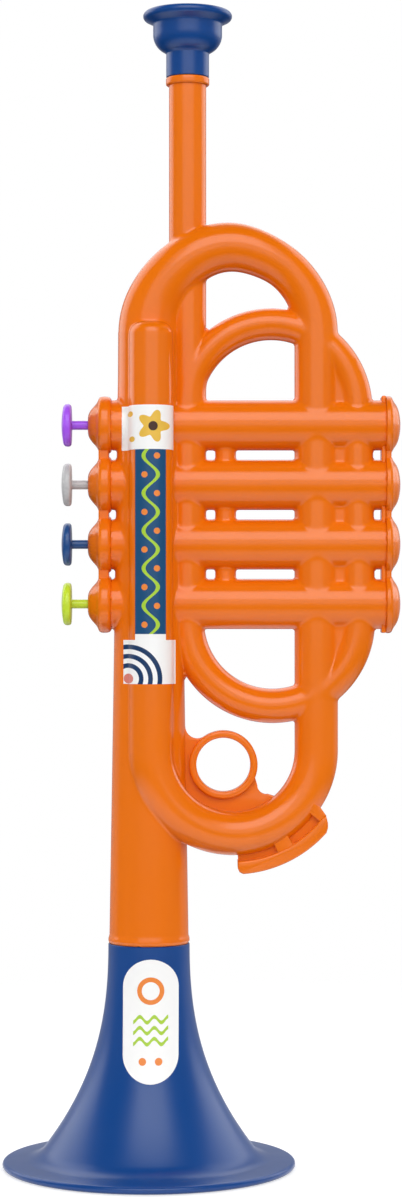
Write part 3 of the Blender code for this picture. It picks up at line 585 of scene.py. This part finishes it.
def material_of(name, colour, roughness, metallic=0.0, peel_height=0.015, parting=0.0):
    """A moulded or drawn material: faint flow marks in the colour, a gloss that wanders, a trace of relief,
    and a darker parting line on the middle plane where a half width is given for it."""
    material, surface, start, place = painted(name)
    tree = material.node_tree
    drawn = start.add("ShaderNodeMapping", sockets={"Vector": place, "Scale": (60.0, 60.0, 14.0)})
    flow = start.add("ShaderNodeTexNoise", sockets={"Vector": drawn, "Scale": 1.0, "Detail": 3.0})
    patch = start.add("ShaderNodeTexNoise", sockets={"Vector": place, "Scale": 90.0, "Detail": 2.0})
    peel = start.add("ShaderNodeTexNoise", sockets={"Vector": place, "Scale": 300.0, "Detail": 1.0})
    deep = tuple(0.93 * part for part in colour) + (1.0,)
    pale = tuple(min(1.06 * part + 0.002, 1.0) for part in colour) + (1.0,)
    tint = flow.over(deep, pale)
    if parting:
        line = abs(place.part("Y")) < parting
        tint = line.over(tint, tuple(0.6 * part for part in colour) + (1.0,))
    relief = {"Strength": peel_height, "Distance": 0.1 * MM, "Height": peel}
    bump = start.add("ShaderNodeBump", sockets=relief)
    surface.inputs["Metallic"].default_value = metallic
    surface.inputs["Specular IOR Level"].default_value = GLOSS
    tree.links.new(tint.socket, surface.inputs["Base Color"])
    tree.links.new((patch * 0.08 + (roughness - 0.04)).socket, surface.inputs["Roughness"])
    tree.links.new(bump.socket, surface.inputs["Normal"])
    return material


def shown(obj, material, body_name, node):
    """Finishes a piece: its material, smooth shading, the body it moves with; hides the part it stands for."""
    obj.data.materials.clear()
    obj.data.materials.append(material)
    obj.data.shade_smooth()
    obj.data.set_sharp_from_angle(angle=math.radians(38.0))
    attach(obj, body_name)
    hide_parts(node)


ORANGE = (0.84, 0.172, 0.0015)
orange_plastic = material_of("orange_plastic", ORANGE, 0.19)
shell_plastic = material_of("shell_plastic", ORANGE, 0.19, parting=PARTING)
for name, (near, far) in {"front": (-0.5, 0.0), "back": (0.0, 0.5)}.items():
    half = placed(f"{name}_half", moulding.data.copy())
    keep = block((-0.5, near, -0.3), (0.5, far, 0.7))
    half = carved(half, "INTERSECT", [placed("keep", keep)])
    shown(half, shell_plastic, "body", f"{name}_shell")
bpy.data.objects.remove(moulding, do_unlink=True)

# Valve works: in each casing a moulded seat ring, a rubber pad on a carrier, a coil spring of steel wire and
# a reed plug with a brass reed. The seat and the plug are pressed into the bore. The pad and its carrier sit
# on the button's stem.
SEAT_SPAN = (1.5 * MM, 4.5 * MM)
SEAT_HOLE = 3.2 * MM
PAD_SPAN = (4.8 * MM, 6.3 * MM)
PAD_RADIUS = 4.9 * MM
STEM_RADIUS = 1.45 * MM
STEM_END = 8.6 * MM
CARRIER_SPAN = (6.6 * MM, 9.6 * MM)
CARRIER_END = 11.6 * MM
CARRIER_BOSS = 2.2 * MM
CLEARANCE = 0.3 * MM
SPRING_SPAN = (10.25 * MM, 21.55 * MM)
SPRING_RADIUS = 3.4 * MM
SPRING_WIRE = 0.35 * MM
SPRING_TURNS = 5
PLUG_SPAN = (22.2 * MM, 26.2 * MM)
PLUG_FIT = 5.9 * MM
SHALLOT_RADIUS = 2.6 * MM
AIR_CHANNEL = 1.5 * MM
REED_LENGTHS = [length * MM for length in (13.5, 12.2, 11.0, 10.0)]
REED_THICKNESS = 0.35 * MM
REED_WIDTH = 3.8 * MM
REED_EDGE = 0.08 * MM
SHALLOT_SPARE = 1.3 * MM  # how far the plug's tongue goes on past its reed
CHANNEL_STOP = 1.2 * MM
EDGE = 0.3 * MM
TIP = 0.4 * MM
natural_plastic = material_of("natural_plastic", (0.76, 0.74, 0.68), 0.45)
black_rubber = material_of("black_rubber", (0.022, 0.022, 0.024), 0.72, peel_height=0.2)
spring_steel = material_of("spring_steel", (0.60, 0.60, 0.62), 0.3, metallic=1.0)
reed_brass = material_of("reed_brass", (0.72, 0.48, 0.15), 0.35, metallic=1.0)
seat_profile = washer(SEAT_HOLE, REED_BORE - CLEARANCE, SEAT_SPAN, EDGE)
pad_profile = washer(STEM_RADIUS + CLEARANCE, PAD_RADIUS, PAD_SPAN, EDGE)
socket = STEM_RADIUS + CLEARANCE
carrier_profile = [
    (0.0, CARRIER_END),
    (CARRIER_BOSS - TIP, CARRIER_END),
    (CARRIER_BOSS, CARRIER_END - TIP),
    (CARRIER_BOSS, CARRIER_SPAN[1]),
    (PAD_RADIUS - EDGE, CARRIER_SPAN[1]),
    (PAD_RADIUS, CARRIER_SPAN[1] - EDGE),
    (PAD_RADIUS, CARRIER_SPAN[0]),
    (socket, CARRIER_SPAN[0]),
    (socket, STEM_END + CLEARANCE),
    (0.0, STEM_END + CLEARANCE),
]
for number, (height, reed_length) in enumerate(zip(VALVE_HEIGHTS, REED_LENGTHS), 1):
    moving = f"button_{number}"
    centre = (0.0, 0.0, height)
    seat = placed(f"seat_ring_{number}", spun(seat_profile, X_AXIS, centre, 64, ring=True))
    shown(seat, natural_plastic, "body", f"valve_seat_{number}")
    pad = placed(f"pad_washer_{number}", spun(pad_profile, X_AXIS, centre, 64, ring=True))
    shown(pad, black_rubber, moving, f"valve_pad_{number}")
    carrier = placed(f"carrier_disc_{number}", spun(carrier_profile, X_AXIS, centre, 64))
    shown(carrier, natural_plastic, moving, f"pad_carrier_{number}")

    coil = bmesh.new()
    steps = 28 * SPRING_TURNS
    bmesh.ops.create_circle(coil, cap_ends=False, segments=12, radius=SPRING_WIRE,
                            matrix=Matrix.Translation((SPRING_SPAN[0], SPRING_RADIUS, height)))
    step = (SPRING_SPAN[1] - SPRING_SPAN[0]) / steps
    bmesh.ops.spin(coil, geom=coil.verts[:] + coil.edges[:], cent=centre, axis=X_AXIS, dvec=(step, 0.0, 0.0),
                   angle=2.0 * math.pi * SPRING_TURNS, steps=steps, use_merge=False)
    bmesh.ops.holes_fill(coil, edges=[edge for edge in coil.edges if edge.is_boundary], sides=12)
    bmesh.ops.recalc_face_normals(coil, faces=coil.faces)
    spring = placed(f"coil_{number}", coil)
    shown(spring, spring_steel, "body", f"return_spring_{number}")
    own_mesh(spring)

    flat_y = -CLEARANCE / 2
    reed_back = flat_y - CLEARANCE
    reed_front = reed_back - REED_THICKNESS
    reed_root = PLUG_SPAN[0] + MM
    slot = REED_WIDTH / 2 + CLEARANCE
    shallot_end = PLUG_SPAN[1] + reed_length + SHALLOT_SPARE
    plug_profile = [
        (0.0, shallot_end),
        (SHALLOT_RADIUS - TIP, shallot_end),
        (SHALLOT_RADIUS, shallot_end - TIP),
        (SHALLOT_RADIUS, PLUG_SPAN[1]),
        (PLUG_FIT - EDGE, PLUG_SPAN[1]),
        (PLUG_FIT, PLUG_SPAN[1] - EDGE),
        (PLUG_FIT, PLUG_SPAN[0] + EDGE),
        (PLUG_FIT - EDGE, PLUG_SPAN[0]),
        (0.0, PLUG_SPAN[0]),
    ]
    plug_body = placed(f"reed_plug_{number}", spun(plug_profile, X_AXIS, centre, 64))
    cuts = [
        placed("flat", block((PLUG_SPAN[1] - EDGE, -4.0 * MM, height - 3.2 * MM),
                             (shallot_end + 2.0 * MM, flat_y, height + 3.2 * MM))),
        placed("slot", block((reed_root - CLEARANCE, reed_front - CLEARANCE, height - slot),
                             (PLUG_SPAN[1] + MM, flat_y + 0.05 * MM, height + slot))),
        placed("channel", round_bar((PLUG_SPAN[0] - 2.0 * MM, flat_y, height),
                                    (shallot_end - CHANNEL_STOP, flat_y, height), AIR_CHANNEL, 32)),
    ]
    plug_body = carved(plug_body, "DIFFERENCE", cuts)
    shown(plug_body, natural_plastic, "body", f"reed_block_{number}")
    reed_low = (reed_root, reed_front, height - REED_WIDTH / 2)
    reed_high = (PLUG_SPAN[1] + reed_length, reed_back, height + REED_WIDTH / 2)
    reed = placed(f"reed_strip_{number}", block(reed_low, reed_high, REED_EDGE))
    shown(reed, reed_brass, "body", f"reed_{number}")

# Buttons: one turned form for all four, a domed disc on a round stem, moulded in purple, grey, navy and
# lime. The stem runs through the cap into the casing, and the pad and its carrier are pressed on its end.
BUTTON_RADIUS = 6.9 * MM
BUTTON_FACE = -45.6 * MM
BUTTON_BACK = -42.4 * MM
DOME_REACH = 5.8
DOME_RADII = (4.8, 3.6, 2.4, 1.2, 0.0)
BUTTON_COLOURS = {
    "purple": (0.40, 0.095, 0.92),
    "grey": (0.52, 0.52, 0.53),
    "navy": (0.010, 0.070, 0.25),
    "lime": (0.57, 0.78, 0.03),
}
button_profile = [(0.0, STEM_END), (STEM_RADIUS - 0.2 * MM, STEM_END), (STEM_RADIUS, STEM_END - 0.2 * MM)]
button_profile += [*arc((STEM_RADIUS + 0.5 * MM, BUTTON_BACK + 0.5 * MM), 0.5 * MM, 180.0, 270.0, 4)]
button_profile += [*arc((BUTTON_RADIUS - 0.9 * MM, BUTTON_BACK - 0.9 * MM), 0.9 * MM, 90.0, 0.0, 6)]
button_profile += [*arc((BUTTON_RADIUS - 1.3 * MM, BUTTON_FACE + 1.85 * MM), 1.3 * MM, 0.0, -78.0, 8)]
dome_height = button_profile[-1][1] - BUTTON_FACE
button_profile += [(r * MM, BUTTON_FACE + dome_height * (r / DOME_REACH) ** 2) for r in DOME_RADII]
for number, (height, (name, colour)) in enumerate(zip(VALVE_HEIGHTS, BUTTON_COLOURS.items()), 1):
    button = placed(f"{name}_button", spun(button_profile, X_AXIS, (0.0, 0.0, height), 80))
    plastic = material_of(f"{name}_plastic", colour, 0.3)
    shown(button, plastic, f"button_{number}", f"button_{number}")

# Cap strips: two orange mouldings of four caps each, joined by a bar, with a plug behind each cap that is
# glued into its casing. The left caps have a nose with a hole for the stem, and the right ones are closed.
CAP_LEFT_FACE = -29.4 * MM
CAP_RIGHT_FACE = 59.6 * MM
LEFT_PLUG = (-26.5 * MM, STEM_BORE - CLEARANCE)
RIGHT_PLUG = (56.7 * MM, REED_BORE - CLEARANCE)
LEFT_BAR = (-33.5 * MM, -30.2 * MM)
RIGHT_BAR = (CAP_RIGHT_FACE, 61.4 * MM)
STEM_HOLE = 1.75 * MM
STEM_HOLE_SPAN = (-40.0 * MM, -24.0 * MM)
left_cap = [
    (0.0, -37.05), (2.7, -37.0), (3.4, -36.88), (4.1, -36.6), (4.75, -36.2), (5.4, -35.72),
    (6.0, -35.2), (6.6, -34.65), (7.15, -34.2), (7.75, -33.85), (8.4, -33.6), (8.9, -33.3),
    (9.22, -32.85), (9.35, -32.2), (9.35, -31.0), (9.25, -30.35), (9.0, -29.85), (8.6, -29.5),
]
right_cap = [
    (0.0, 64.45), (1.8, 64.38), (3.2, 64.18), (4.5, 63.9), (5.5, 63.58), (6.3, 63.2),
    (6.95, 62.8), (7.5, 62.42), (8.0, 62.1), (8.5, 61.85), (9.0, 61.6), (9.35, 61.2),
    (9.48, 60.7), (9.48, 60.1), (9.4, 59.8), (9.2, 59.65),
]


def cap_strip(name, outside, face, plug, bar):
    """Four turned caps with their plugs, moulded as one with a bar. The outside is in millimetres."""
    plug_end, plug_radius = plug
    profile = [(radius * MM, place * MM) for radius, place in outside]
    profile += [(profile[-1][0] - 0.2 * MM, face), (plug_radius, face)]
    profile += [(plug_radius, plug_end), (0.0, plug_end)]
    turned_caps = [placed("cap", spun(profile, X_AXIS, (0.0, 0.0, height), 112)) for height in VALVE_HEIGHTS]
    low = (bar[0], -BAR_HALF, VALVE_HEIGHTS[-1])
    high = (bar[1], BAR_HALF, VALVE_HEIGHTS[0])
    return carved(placed(name, block(low, high, 0.5 * MM)), "UNION", turned_caps)


left_strip = cap_strip("left_caps", left_cap, CAP_LEFT_FACE, LEFT_PLUG, LEFT_BAR)
holes = []
for height in VALVE_HEIGHTS:
    ends = [(x, 0.0, height) for x in STEM_HOLE_SPAN]
    holes.append(placed("hole", round_bar(*ends, STEM_HOLE)))
left_strip = carved(left_strip, "DIFFERENCE", holes)
shown(left_strip, orange_plastic, "body", "top_cap_strip")
right_strip = cap_strip("right_caps", right_cap, CAP_RIGHT_FACE, RIGHT_PLUG, RIGHT_BAR)
shown(right_strip, orange_plastic, "body", "bottom_cap_strip")

# Bell: turned form in gloss blue plastic, pushed over the spigot and glued. The flare runs out into a flange
# with a rolled rim, and the trumpet stands on the flat ring under it.
BLUE = (0.002, 0.055, 0.25)
BELL_TOP = 72.5 * MM
BELL_THROAT = 13.2 * MM
BELL_WALL = 1.6 * MM
FLARE_START = 74.0 * MM
FLARE_END = 6.3 * MM
FLARE_REACH = 64.0 * MM
FLARE_RISE = 18.1 * MM
FLARE_POWER = 2.5
FLANGE_BEND = 9.0 * MM
FLANGE_FALL = 5.0
RIM_RADIUS = 47.5 * MM
RIM_ROLL = 1.2 * MM
RIM_FOOT = 44.9 * MM
SOCKET_RADIUS = 11.5 * MM
SOCKET_DEPTH = 11.7 * MM
blue_plastic = material_of("blue_plastic", BLUE, 0.3)


def flare_slope(z):
    """How fast the flare widens going down."""
    share = np.maximum(FLARE_START - z, 0.0) / FLARE_REACH
    return FLARE_POWER * FLARE_RISE / FLARE_REACH * share ** (FLARE_POWER - 1.0)


def bell_radius(z):
    """Outer radius of the flare at a height."""
    return BELL_THROAT + FLARE_RISE * (np.maximum(FLARE_START - z, 0.0) / FLARE_REACH) ** FLARE_POWER


def flare(outward, high, low, count):
    """Points of the flare going down, moved outward square to the surface."""
    z = np.linspace(high, low, count + 1)
    slope = flare_slope(z)
    length = np.hypot(1.0, slope)
    return np.stack([bell_radius(z) + outward / length, z + outward * slope / length], axis=1)


def flange_bend(outward):
    """Points of the bend from the flare into the flange."""
    turn = math.atan(flare_slope(FLARE_END))
    centre = (bell_radius(FLARE_END) + FLANGE_BEND * math.cos(turn), FLARE_END + FLANGE_BEND * math.sin(turn))
    return arc(centre, FLANGE_BEND - outward, 180.0 + math.degrees(turn), 270.0 - FLANGE_FALL, 12)


inner_bend = flange_bend(-BELL_WALL)
fall = math.tan(math.radians(FLANGE_FALL)) * (RIM_FOOT - inner_bend[-1][0])
bell_profile = np.concatenate([
    [(SOCKET_RADIUS + 0.2 * MM, BELL_TOP), (BELL_THROAT - 0.15 * MM, BELL_TOP)],
    flare(0.0, BELL_TOP - 0.15 * MM, FLARE_END, 48)[:-1],
    flange_bend(0.0),
    arc((RIM_RADIUS - RIM_ROLL, RIM_ROLL), RIM_ROLL, 85.0, -90.0, 12),
    [(RIM_FOOT, 0.0), (RIM_FOOT - 0.2 * MM, inner_bend[-1][1] - fall)],
    inner_bend[::-1],
    flare(-BELL_WALL, BELL_TOP - SOCKET_DEPTH, FLARE_END, 40)[:-1][::-1],
    [(SOCKET_RADIUS, BELL_TOP - SOCKET_DEPTH), (SOCKET_RADIUS, BELL_TOP - 0.2 * MM)],
])
bell = placed("bell_flare", spun(bell_profile, Z_AXIS, (BELL_X, 0.0, 0.0), 160, ring=True))
shown(bell, blue_plastic, "body", "bell")

# Mouthpiece: turned cup in the same blue, with a rounded lip, a bowl, a neck that rests on the collar and a
# shank that is pushed into the lead pipe.
MOUTH_TOP = 375.0 * MM
MOUTH_RIM = 14.45 * MM
CUP_RADIUS = 11.2 * MM
NECK_RADIUS = 6.95 * MM
NECK_BOTTOM = COLLAR_SPAN[1] + 0.1 * MM
SHANK_RADIUS = 4.0 * MM
SHANK_BOTTOM = 341.0 * MM
THROAT_RADIUS = 2.2 * MM
LIP = 1.5 * MM
BOWL = 6.1 * MM
bowl_end = math.degrees(math.acos((NECK_RADIUS - CUP_RADIUS + BOWL) / BOWL))
mouth_profile = np.concatenate([
    arc((MOUTH_RIM - LIP, MOUTH_TOP - LIP), LIP, 90.0, -55.0, 14),
    arc((CUP_RADIUS + 0.8 * MM, MOUTH_TOP - 4.5 * MM), 0.8 * MM, 125.0, 180.0, 5),
    arc((CUP_RADIUS - BOWL, MOUTH_TOP - 7.5 * MM), BOWL, 0.0, 5.0 - bowl_end, 16),
    [(NECK_RADIUS, MOUTH_TOP - 13.7 * MM), (NECK_RADIUS, NECK_BOTTOM + 0.15 * MM)],
    [(NECK_RADIUS - 0.15 * MM, NECK_BOTTOM), (SHANK_RADIUS, NECK_BOTTOM)],
    [(SHANK_RADIUS, SHANK_BOTTOM + 0.4 * MM), (SHANK_RADIUS - 0.4 * MM, SHANK_BOTTOM)],
    [(THROAT_RADIUS, SHANK_BOTTOM), (THROAT_RADIUS, MOUTH_TOP - 14.0 * MM)],
    arc((MM, MOUTH_TOP - 5.0 * MM), 8.4 * MM, -66.0, 0.0, 14),
    arc((CUP_RADIUS, MOUTH_TOP - 1.5 * MM), 1.5 * MM, 180.0, 90.0, 8),
])
mouth = placed("mouth_cup", spun(mouth_profile, Z_AXIS, (LEAD_X, 0.0, 0.0), 112, ring=True))
shown(mouth, blue_plastic, "body", "mouthpiece")

# Labels: printed film stuck on the front of the front leg, a blue band between two white panels, and a white
# film with round ends on the bell. The prints are made-up ones: a wave, dots, a flower, arcs and a ring.
FILM = 0.12 * MM
FILM_GAP = 0.03 * MM
TUBE_COLUMNS = 61
BELL_COLUMNS = 33
PANEL_HIGH = ((-25.8 * MM, 232.0 * MM), (-9.3 * MM, 246.2 * MM))
PANEL_LOW = ((-25.2 * MM, 156.9 * MM), (-8.6 * MM, 171.0 * MM))
BAND = ((-21.3 * MM, 171.0 * MM), (-11.6 * MM, 232.0 * MM))
BAND_COLOUR_FROM = 172.9 * MM
BELL_LABEL_X = -16.4 * MM
BELL_LABEL_HALF = 8.85 * MM
BELL_LABEL_SPAN = (29.7 * MM, 68.6 * MM)


def lifted(points, distance, height):
    """Points lifted off a surface, square to it."""
    slope = slope_of(distance, points, distance(points))
    return points + height * slope / np.linalg.norm(slope, axis=1)[:, None]


def front_of(x, z):
    """Where the body's front is at some (x, z), looking along +Y."""
    points = np.stack([x, np.full_like(x, -25.0 * MM), z], axis=1)
    for _ in range(60):
        points[:, 1] += 0.9 * body(points)
    return points


def film(bm, x, z, surface, distance):
    """Adds a film over a grid of places, laid on a surface."""
    rows, columns = x.shape
    points = surface(x.ravel(), z.ravel())
    low = lifted(points, distance, FILM_GAP)
    high = lifted(points, distance, FILM)
    layers = []
    for layer in (low, high):
        layers.append(np.array([bm.verts.new(point) for point in layer]).reshape(rows, columns))
    for layer in layers:
        for i in range(rows - 1):
            for j in range(columns - 1):
                bm.faces.new((layer[i, j], layer[i, j + 1], layer[i + 1, j + 1], layer[i + 1, j]))
    edge = [(0, j) for j in range(columns)] + [(i, columns - 1) for i in range(1, rows)]
    edge += [(rows - 1, j) for j in range(columns - 2, -1, -1)] + [(i, 0) for i in range(rows - 2, 0, -1)]
    for spot, following in zip(edge, edge[1:] + edge[:1]):
        bm.faces.new((layers[0][spot], layers[0][following], layers[1][following], layers[1][spot]))


tube_film = bmesh.new()
for low, high in (PANEL_LOW, BAND, PANEL_HIGH):
    places = np.linspace(low[0], high[0], TUBE_COLUMNS)
    heights = np.linspace(low[1], high[1], 2 + int((high[1] - low[1]) / MM))
    x, z = np.meshgrid(places, heights)
    film(tube_film, x, z, front_of, body)
bmesh.ops.recalc_face_normals(tube_film, faces=tube_film.faces)


def bell_distance(p):
    """Distance to the bell's outside, near its front."""
    slope = flare_slope(p[:, 2])
    return (np.hypot(p[:, 0] - BELL_X, p[:, 1]) - bell_radius(p[:, 2])) / np.hypot(1.0, slope)


def bell_front(x, z):
    """Where the bell's front is at some (x, z)."""
    return np.stack([x, -np.sqrt(bell_radius(z) ** 2 - (x - BELL_X) ** 2), z], axis=1)


turns = np.linspace(-90.0, 90.0, 25)
round_end = BELL_LABEL_HALF * np.sin(np.radians(turns))
label_ends = (BELL_LABEL_SPAN[0] + BELL_LABEL_HALF, BELL_LABEL_SPAN[1] - BELL_LABEL_HALF)
up = np.concatenate([
    label_ends[0] + round_end[:13],
    np.linspace(*label_ends, 14)[1:-1],
    label_ends[1] + round_end[12:],
])
beyond = up - np.clip(up, *label_ends)
half_width = np.sqrt(np.maximum(BELL_LABEL_HALF ** 2 - beyond ** 2, (0.05 * MM) ** 2))
x = BELL_LABEL_X + half_width[:, None] * np.linspace(-1.0, 1.0, BELL_COLUMNS)[None, :]
bell_film = bmesh.new()
film(bell_film, x, np.repeat(up[:, None], BELL_COLUMNS, axis=1), bell_front, bell_distance)
bmesh.ops.recalc_face_normals(bell_film, faces=bell_film.faces)

PRINT_WHITE = (0.93, 0.93, 0.92, 1.0)
PRINT_BLUE = (0.004, 0.075, 0.20, 1.0)
PRINT_LIME = (0.40, 0.64, 0.03, 1.0)
PRINT_ORANGE = (0.86, 0.24, 0.03, 1.0)
PRINT_YELLOW = (0.82, 0.50, 0.05, 1.0)
PRINT_BROWN = (0.06, 0.022, 0.014, 1.0)
PRINT_NAVY = (0.006, 0.04, 0.13, 1.0)
PRINT_PINK = (0.70, 0.20, 0.16, 1.0)


def print_film(name, design):
    """Glossy printed film. The design gives the colour from millimetres across (x) and up (z)."""
    material, surface, start, place = painted(name)
    tree = material.node_tree
    across = place.part("X") / MM
    up = place.part("Z") / MM
    grain = start.add("ShaderNodeTexNoise", sockets={"Vector": place, "Scale": 400.0, "Detail": 2.0})
    tree.links.new(design(across, up).socket, surface.inputs["Base Color"])
    tree.links.new((grain * 0.1 + 0.3).socket, surface.inputs["Roughness"])
    return material


def away(across, up, spot):
    """Distance of each place from a spot."""
    side = across - spot[0]
    rise = up - spot[1]
    return (side * side + rise * rise).math("SQRT")


def tube_design(across, up):
    """White panels with a flower and with arcs, and a blue band with a wave and dots between them."""
    middle = across - FRONT_LEG[0] / MM
    wave_length = 12.0
    phase = (up - BAND_COLOUR_FROM / MM) * (2.0 * math.pi / wave_length)
    swing = phase.math("SINE")
    in_band = (up > BAND_COLOUR_FROM / MM) * (up < BAND[1][1] / MM)
    bay = (up - BAND_COLOUR_FROM / MM).math("MODULO", wave_length / 2) - wave_length / 4
    dot_side = middle + swing.math("SIGN") * 2.0
    dots = (dot_side * dot_side + bay * bay) < 1.0
    wave = abs(middle - swing * 2.3) < 0.65
    colour = in_band.over(PRINT_WHITE, PRINT_BLUE)
    colour = (in_band * wave).over(colour, PRINT_LIME)
    colour = (in_band * dots).over(colour, PRINT_ORANGE)
    flower_spot = (-15.6, 239.4)
    flower = away(across, up, flower_spot)
    turn = (up - flower_spot[1]).math("ARCTAN2", across - flower_spot[0])
    petals = flower < ((turn * 5.0).math("COSINE") * 1.1 + 4.2)
    colour = petals.over(colour, PRINT_YELLOW)
    colour = (flower < 1.5).over(colour, PRINT_BROWN)
    for spot in ((-23.0, 243.4), (-22.4, 235.3)):
        colour = (away(across, up, spot) < 0.9).over(colour, PRINT_YELLOW)
    arcs_spot = (-23.6, 158.6)
    arcs = away(across, up, arcs_spot)
    below = up < 170.5
    for radius in (4.2, 7.2, 10.2):
        colour = ((abs(arcs - radius) < 0.75) * below).over(colour, PRINT_NAVY)
    colour = (arcs < 1.6).over(colour, PRINT_PINK)
    return colour


def bell_design(across, up):
    """A white film with a ring, three waves and two dots."""
    middle = across - BELL_LABEL_X / MM
    ring = abs(away(across, up, (BELL_LABEL_X / MM, 58.6)) - 3.6) < 0.75
    colour = ring.over(PRINT_WHITE, PRINT_ORANGE)
    swing = (middle * (2.0 * math.pi / 4.6)).math("SINE") * 0.9
    inside = abs(middle) < 5.6
    for height in (49.6, 46.2, 42.8):
        wave = abs(up - height - swing) < 0.6
        colour = (wave * inside).over(colour, PRINT_LIME)
    for side in (-2.6, 2.6):
        colour = (away(across, up, (BELL_LABEL_X / MM + side, 36.6)) < 1.2).over(colour, PRINT_ORANGE)
    return colour


tube_label = placed("tube_film", tube_film)
shown(tube_label, print_film("tube_print", tube_design), "body", "tube_label")
bell_label = placed("bell_film", bell_film)
shown(bell_label, print_film("bell_print", bell_design), "body", "bell_label")

# Stage: a pale floor that fades into a white surround, a soft light in front and above with a dimmer skirt,
# weaker ones behind and on either side, low fills all round, and a white screen that draws the pale edges of
# gloss plastic. The camera stands where the photograph's did.
FLOOR_PAINT = 0.62
FLOOR_GLOW = 0.56
FLOOR_FADE = (0.16, 0.5)
AMBIENT = (0.0, 0.34, 0.04)  # from below, from the horizon and from overhead
HORIZON = (-0.7, 0.0)  # these spans are of the direction's X, Y or Z, from -1 to 1
OVERHEAD = (0.1, 0.8)
SIDES = (0.4, 1.0)
SIDE_LEVEL = 0.1
SCREEN = (0.1, 0.45)
SCREEN_FOOT = (-0.4, 0.0)
SCREEN_LEVEL = 0.44
AIM = Vector((0.0, 0.0, 0.19))


def rays_that_see(start):
    """Camera rays, and all rays that see the background as a camera ray does."""
    camera_ray = start.add("ShaderNodeLightPath", output="Is Camera Ray")
    glossy_ray = start.add("ShaderNodeLightPath", output="Is Glossy Ray")
    transmission_ray = start.add("ShaderNodeLightPath", output="Is Transmission Ray")
    return camera_ray, camera_ray + glossy_ray + transmission_ray


floor_mesh = bmesh.new()
bmesh.ops.create_circle(floor_mesh, cap_ends=True, segments=96, radius=1.2)
floor = placed("floor", floor_mesh)
floor.location.z = -0.2 * MM
floor_paint, paint, start, place = painted("floor_paint")
tree = floor_paint.node_tree
from_middle = start.add("ShaderNodeVectorMath", {"operation": "LENGTH"}, {0: place}, output="Value")
fade = from_middle.ramp(*FLOOR_FADE)
camera_ray, seen = rays_that_see(start)
paint.inputs["Base Color"].default_value = (FLOOR_PAINT, FLOOR_PAINT, FLOOR_PAINT, 1.0)
paint.inputs["Roughness"].default_value = 0.9
paint.inputs["Specular IOR Level"].default_value = 0.1
paint.inputs["Emission Color"].default_value = (1.0, 1.0, 1.0, 1.0)
tree.links.new((seen * FLOOR_GLOW).socket, paint.inputs["Emission Strength"])
mix = tree.nodes.new("ShaderNodeMixShader")
clear = tree.nodes.new("ShaderNodeBsdfTransparent")
tree.links.new(fade.socket, mix.inputs[0])
tree.links.new(paint.outputs[0], mix.inputs[1])
tree.links.new(clear.outputs[0], mix.inputs[2])
tree.links.new(mix.outputs[0], tree.nodes["Material Output"].inputs["Surface"])
floor.data.materials.append(floor_paint)
floor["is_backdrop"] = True

world = bpy.data.worlds.new("white_surround")
bpy.context.scene.world = world
world.use_nodes = True
tree = world.node_tree
start = Maths(tree)
direction = start.add("ShaderNodeTexCoord", output="Generated")
to_top = direction.part("Z")
screen = direction.part("Y").ramp(*SCREEN, last=SCREEN_LEVEL) * to_top.ramp(*SCREEN_FOOT)
overhead = to_top.ramp(*OVERHEAD, last=AMBIENT[1] - AMBIENT[2])
sides = abs(direction.part("X")).ramp(*SIDES, last=SIDE_LEVEL)
ambient = to_top.ramp(*HORIZON, AMBIENT[0], AMBIENT[1]) - overhead + sides
camera_ray, seen = rays_that_see(start)
background = camera_ray * (1.0 - screen) + screen
strength = seen * (background - ambient) + ambient
tree.nodes["Background"].inputs["Color"].default_value = (1.0, 1.0, 1.0, 1.0)
tree.links.new(strength.socket, tree.nodes["Background"].inputs["Strength"])


def soft_light(name, location, size, radiance, in_gloss=True):
    """A broad panel of light that faces the middle of the trumpet, and is seen in its gloss or not."""
    light = bpy.data.lights.new(name, "AREA")
    light.shape = "RECTANGLE"
    light.size, light.size_y = size
    light.energy = radiance * math.pi * size[0] * size[1]
    obj = bpy.data.objects.new(name, light)
    obj.location = location
    obj.rotation_euler = (AIM - Vector(location)).to_track_quat("-Z", "Y").to_euler()
    obj.visible_camera = False
    obj.visible_glossy = in_gloss
    bpy.context.scene.collection.objects.link(obj)


soft_light("front_core", (0.08, -1.14, 1.17), (1.25, 1.0), 1.93)
soft_light("front_skirt", (0.08, -1.3, 0.9), (1.95, 1.6), 0.75)
soft_light("back_core", (-0.08, 1.14, 1.17), (1.25, 1.0), 1.2)
soft_light("left_panel", (-1.22, 0.72, 1.0), (1.3, 1.5), 1.45)
soft_light("right_panel", (1.22, 0.72, 1.0), (1.3, 1.5), 1.45)
soft_light("front_fill", (0.0, -1.6, 0.36), (3.2, 0.9), 1.07, in_gloss=False)
soft_light("back_fill", (0.0, 1.6, 0.36), (3.2, 0.9), 1.3, in_gloss=False)
soft_light("left_fill", (-1.6, -0.1, 0.36), (2.6, 0.9), 0.98, in_gloss=False)
soft_light("right_fill", (1.6, -0.1, 0.36), (2.6, 0.9), 0.98, in_gloss=False)

lens = bpy.data.cameras.new("photo_lens")
lens.sensor_width = 36.0
lens.lens = 84.0
lens.shift_y = 0.025
camera = bpy.data.objects.new("photo_camera", lens)
camera.location = (-0.0003, -0.91, 0.1742)
camera.rotation_euler = (math.pi / 2, 0.0, 0.0)
bpy.context.scene.collection.objects.link(camera)
bpy.context.scene.camera = camera
bpy.context.scene.view_settings.view_transform = "Standard"

low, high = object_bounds()
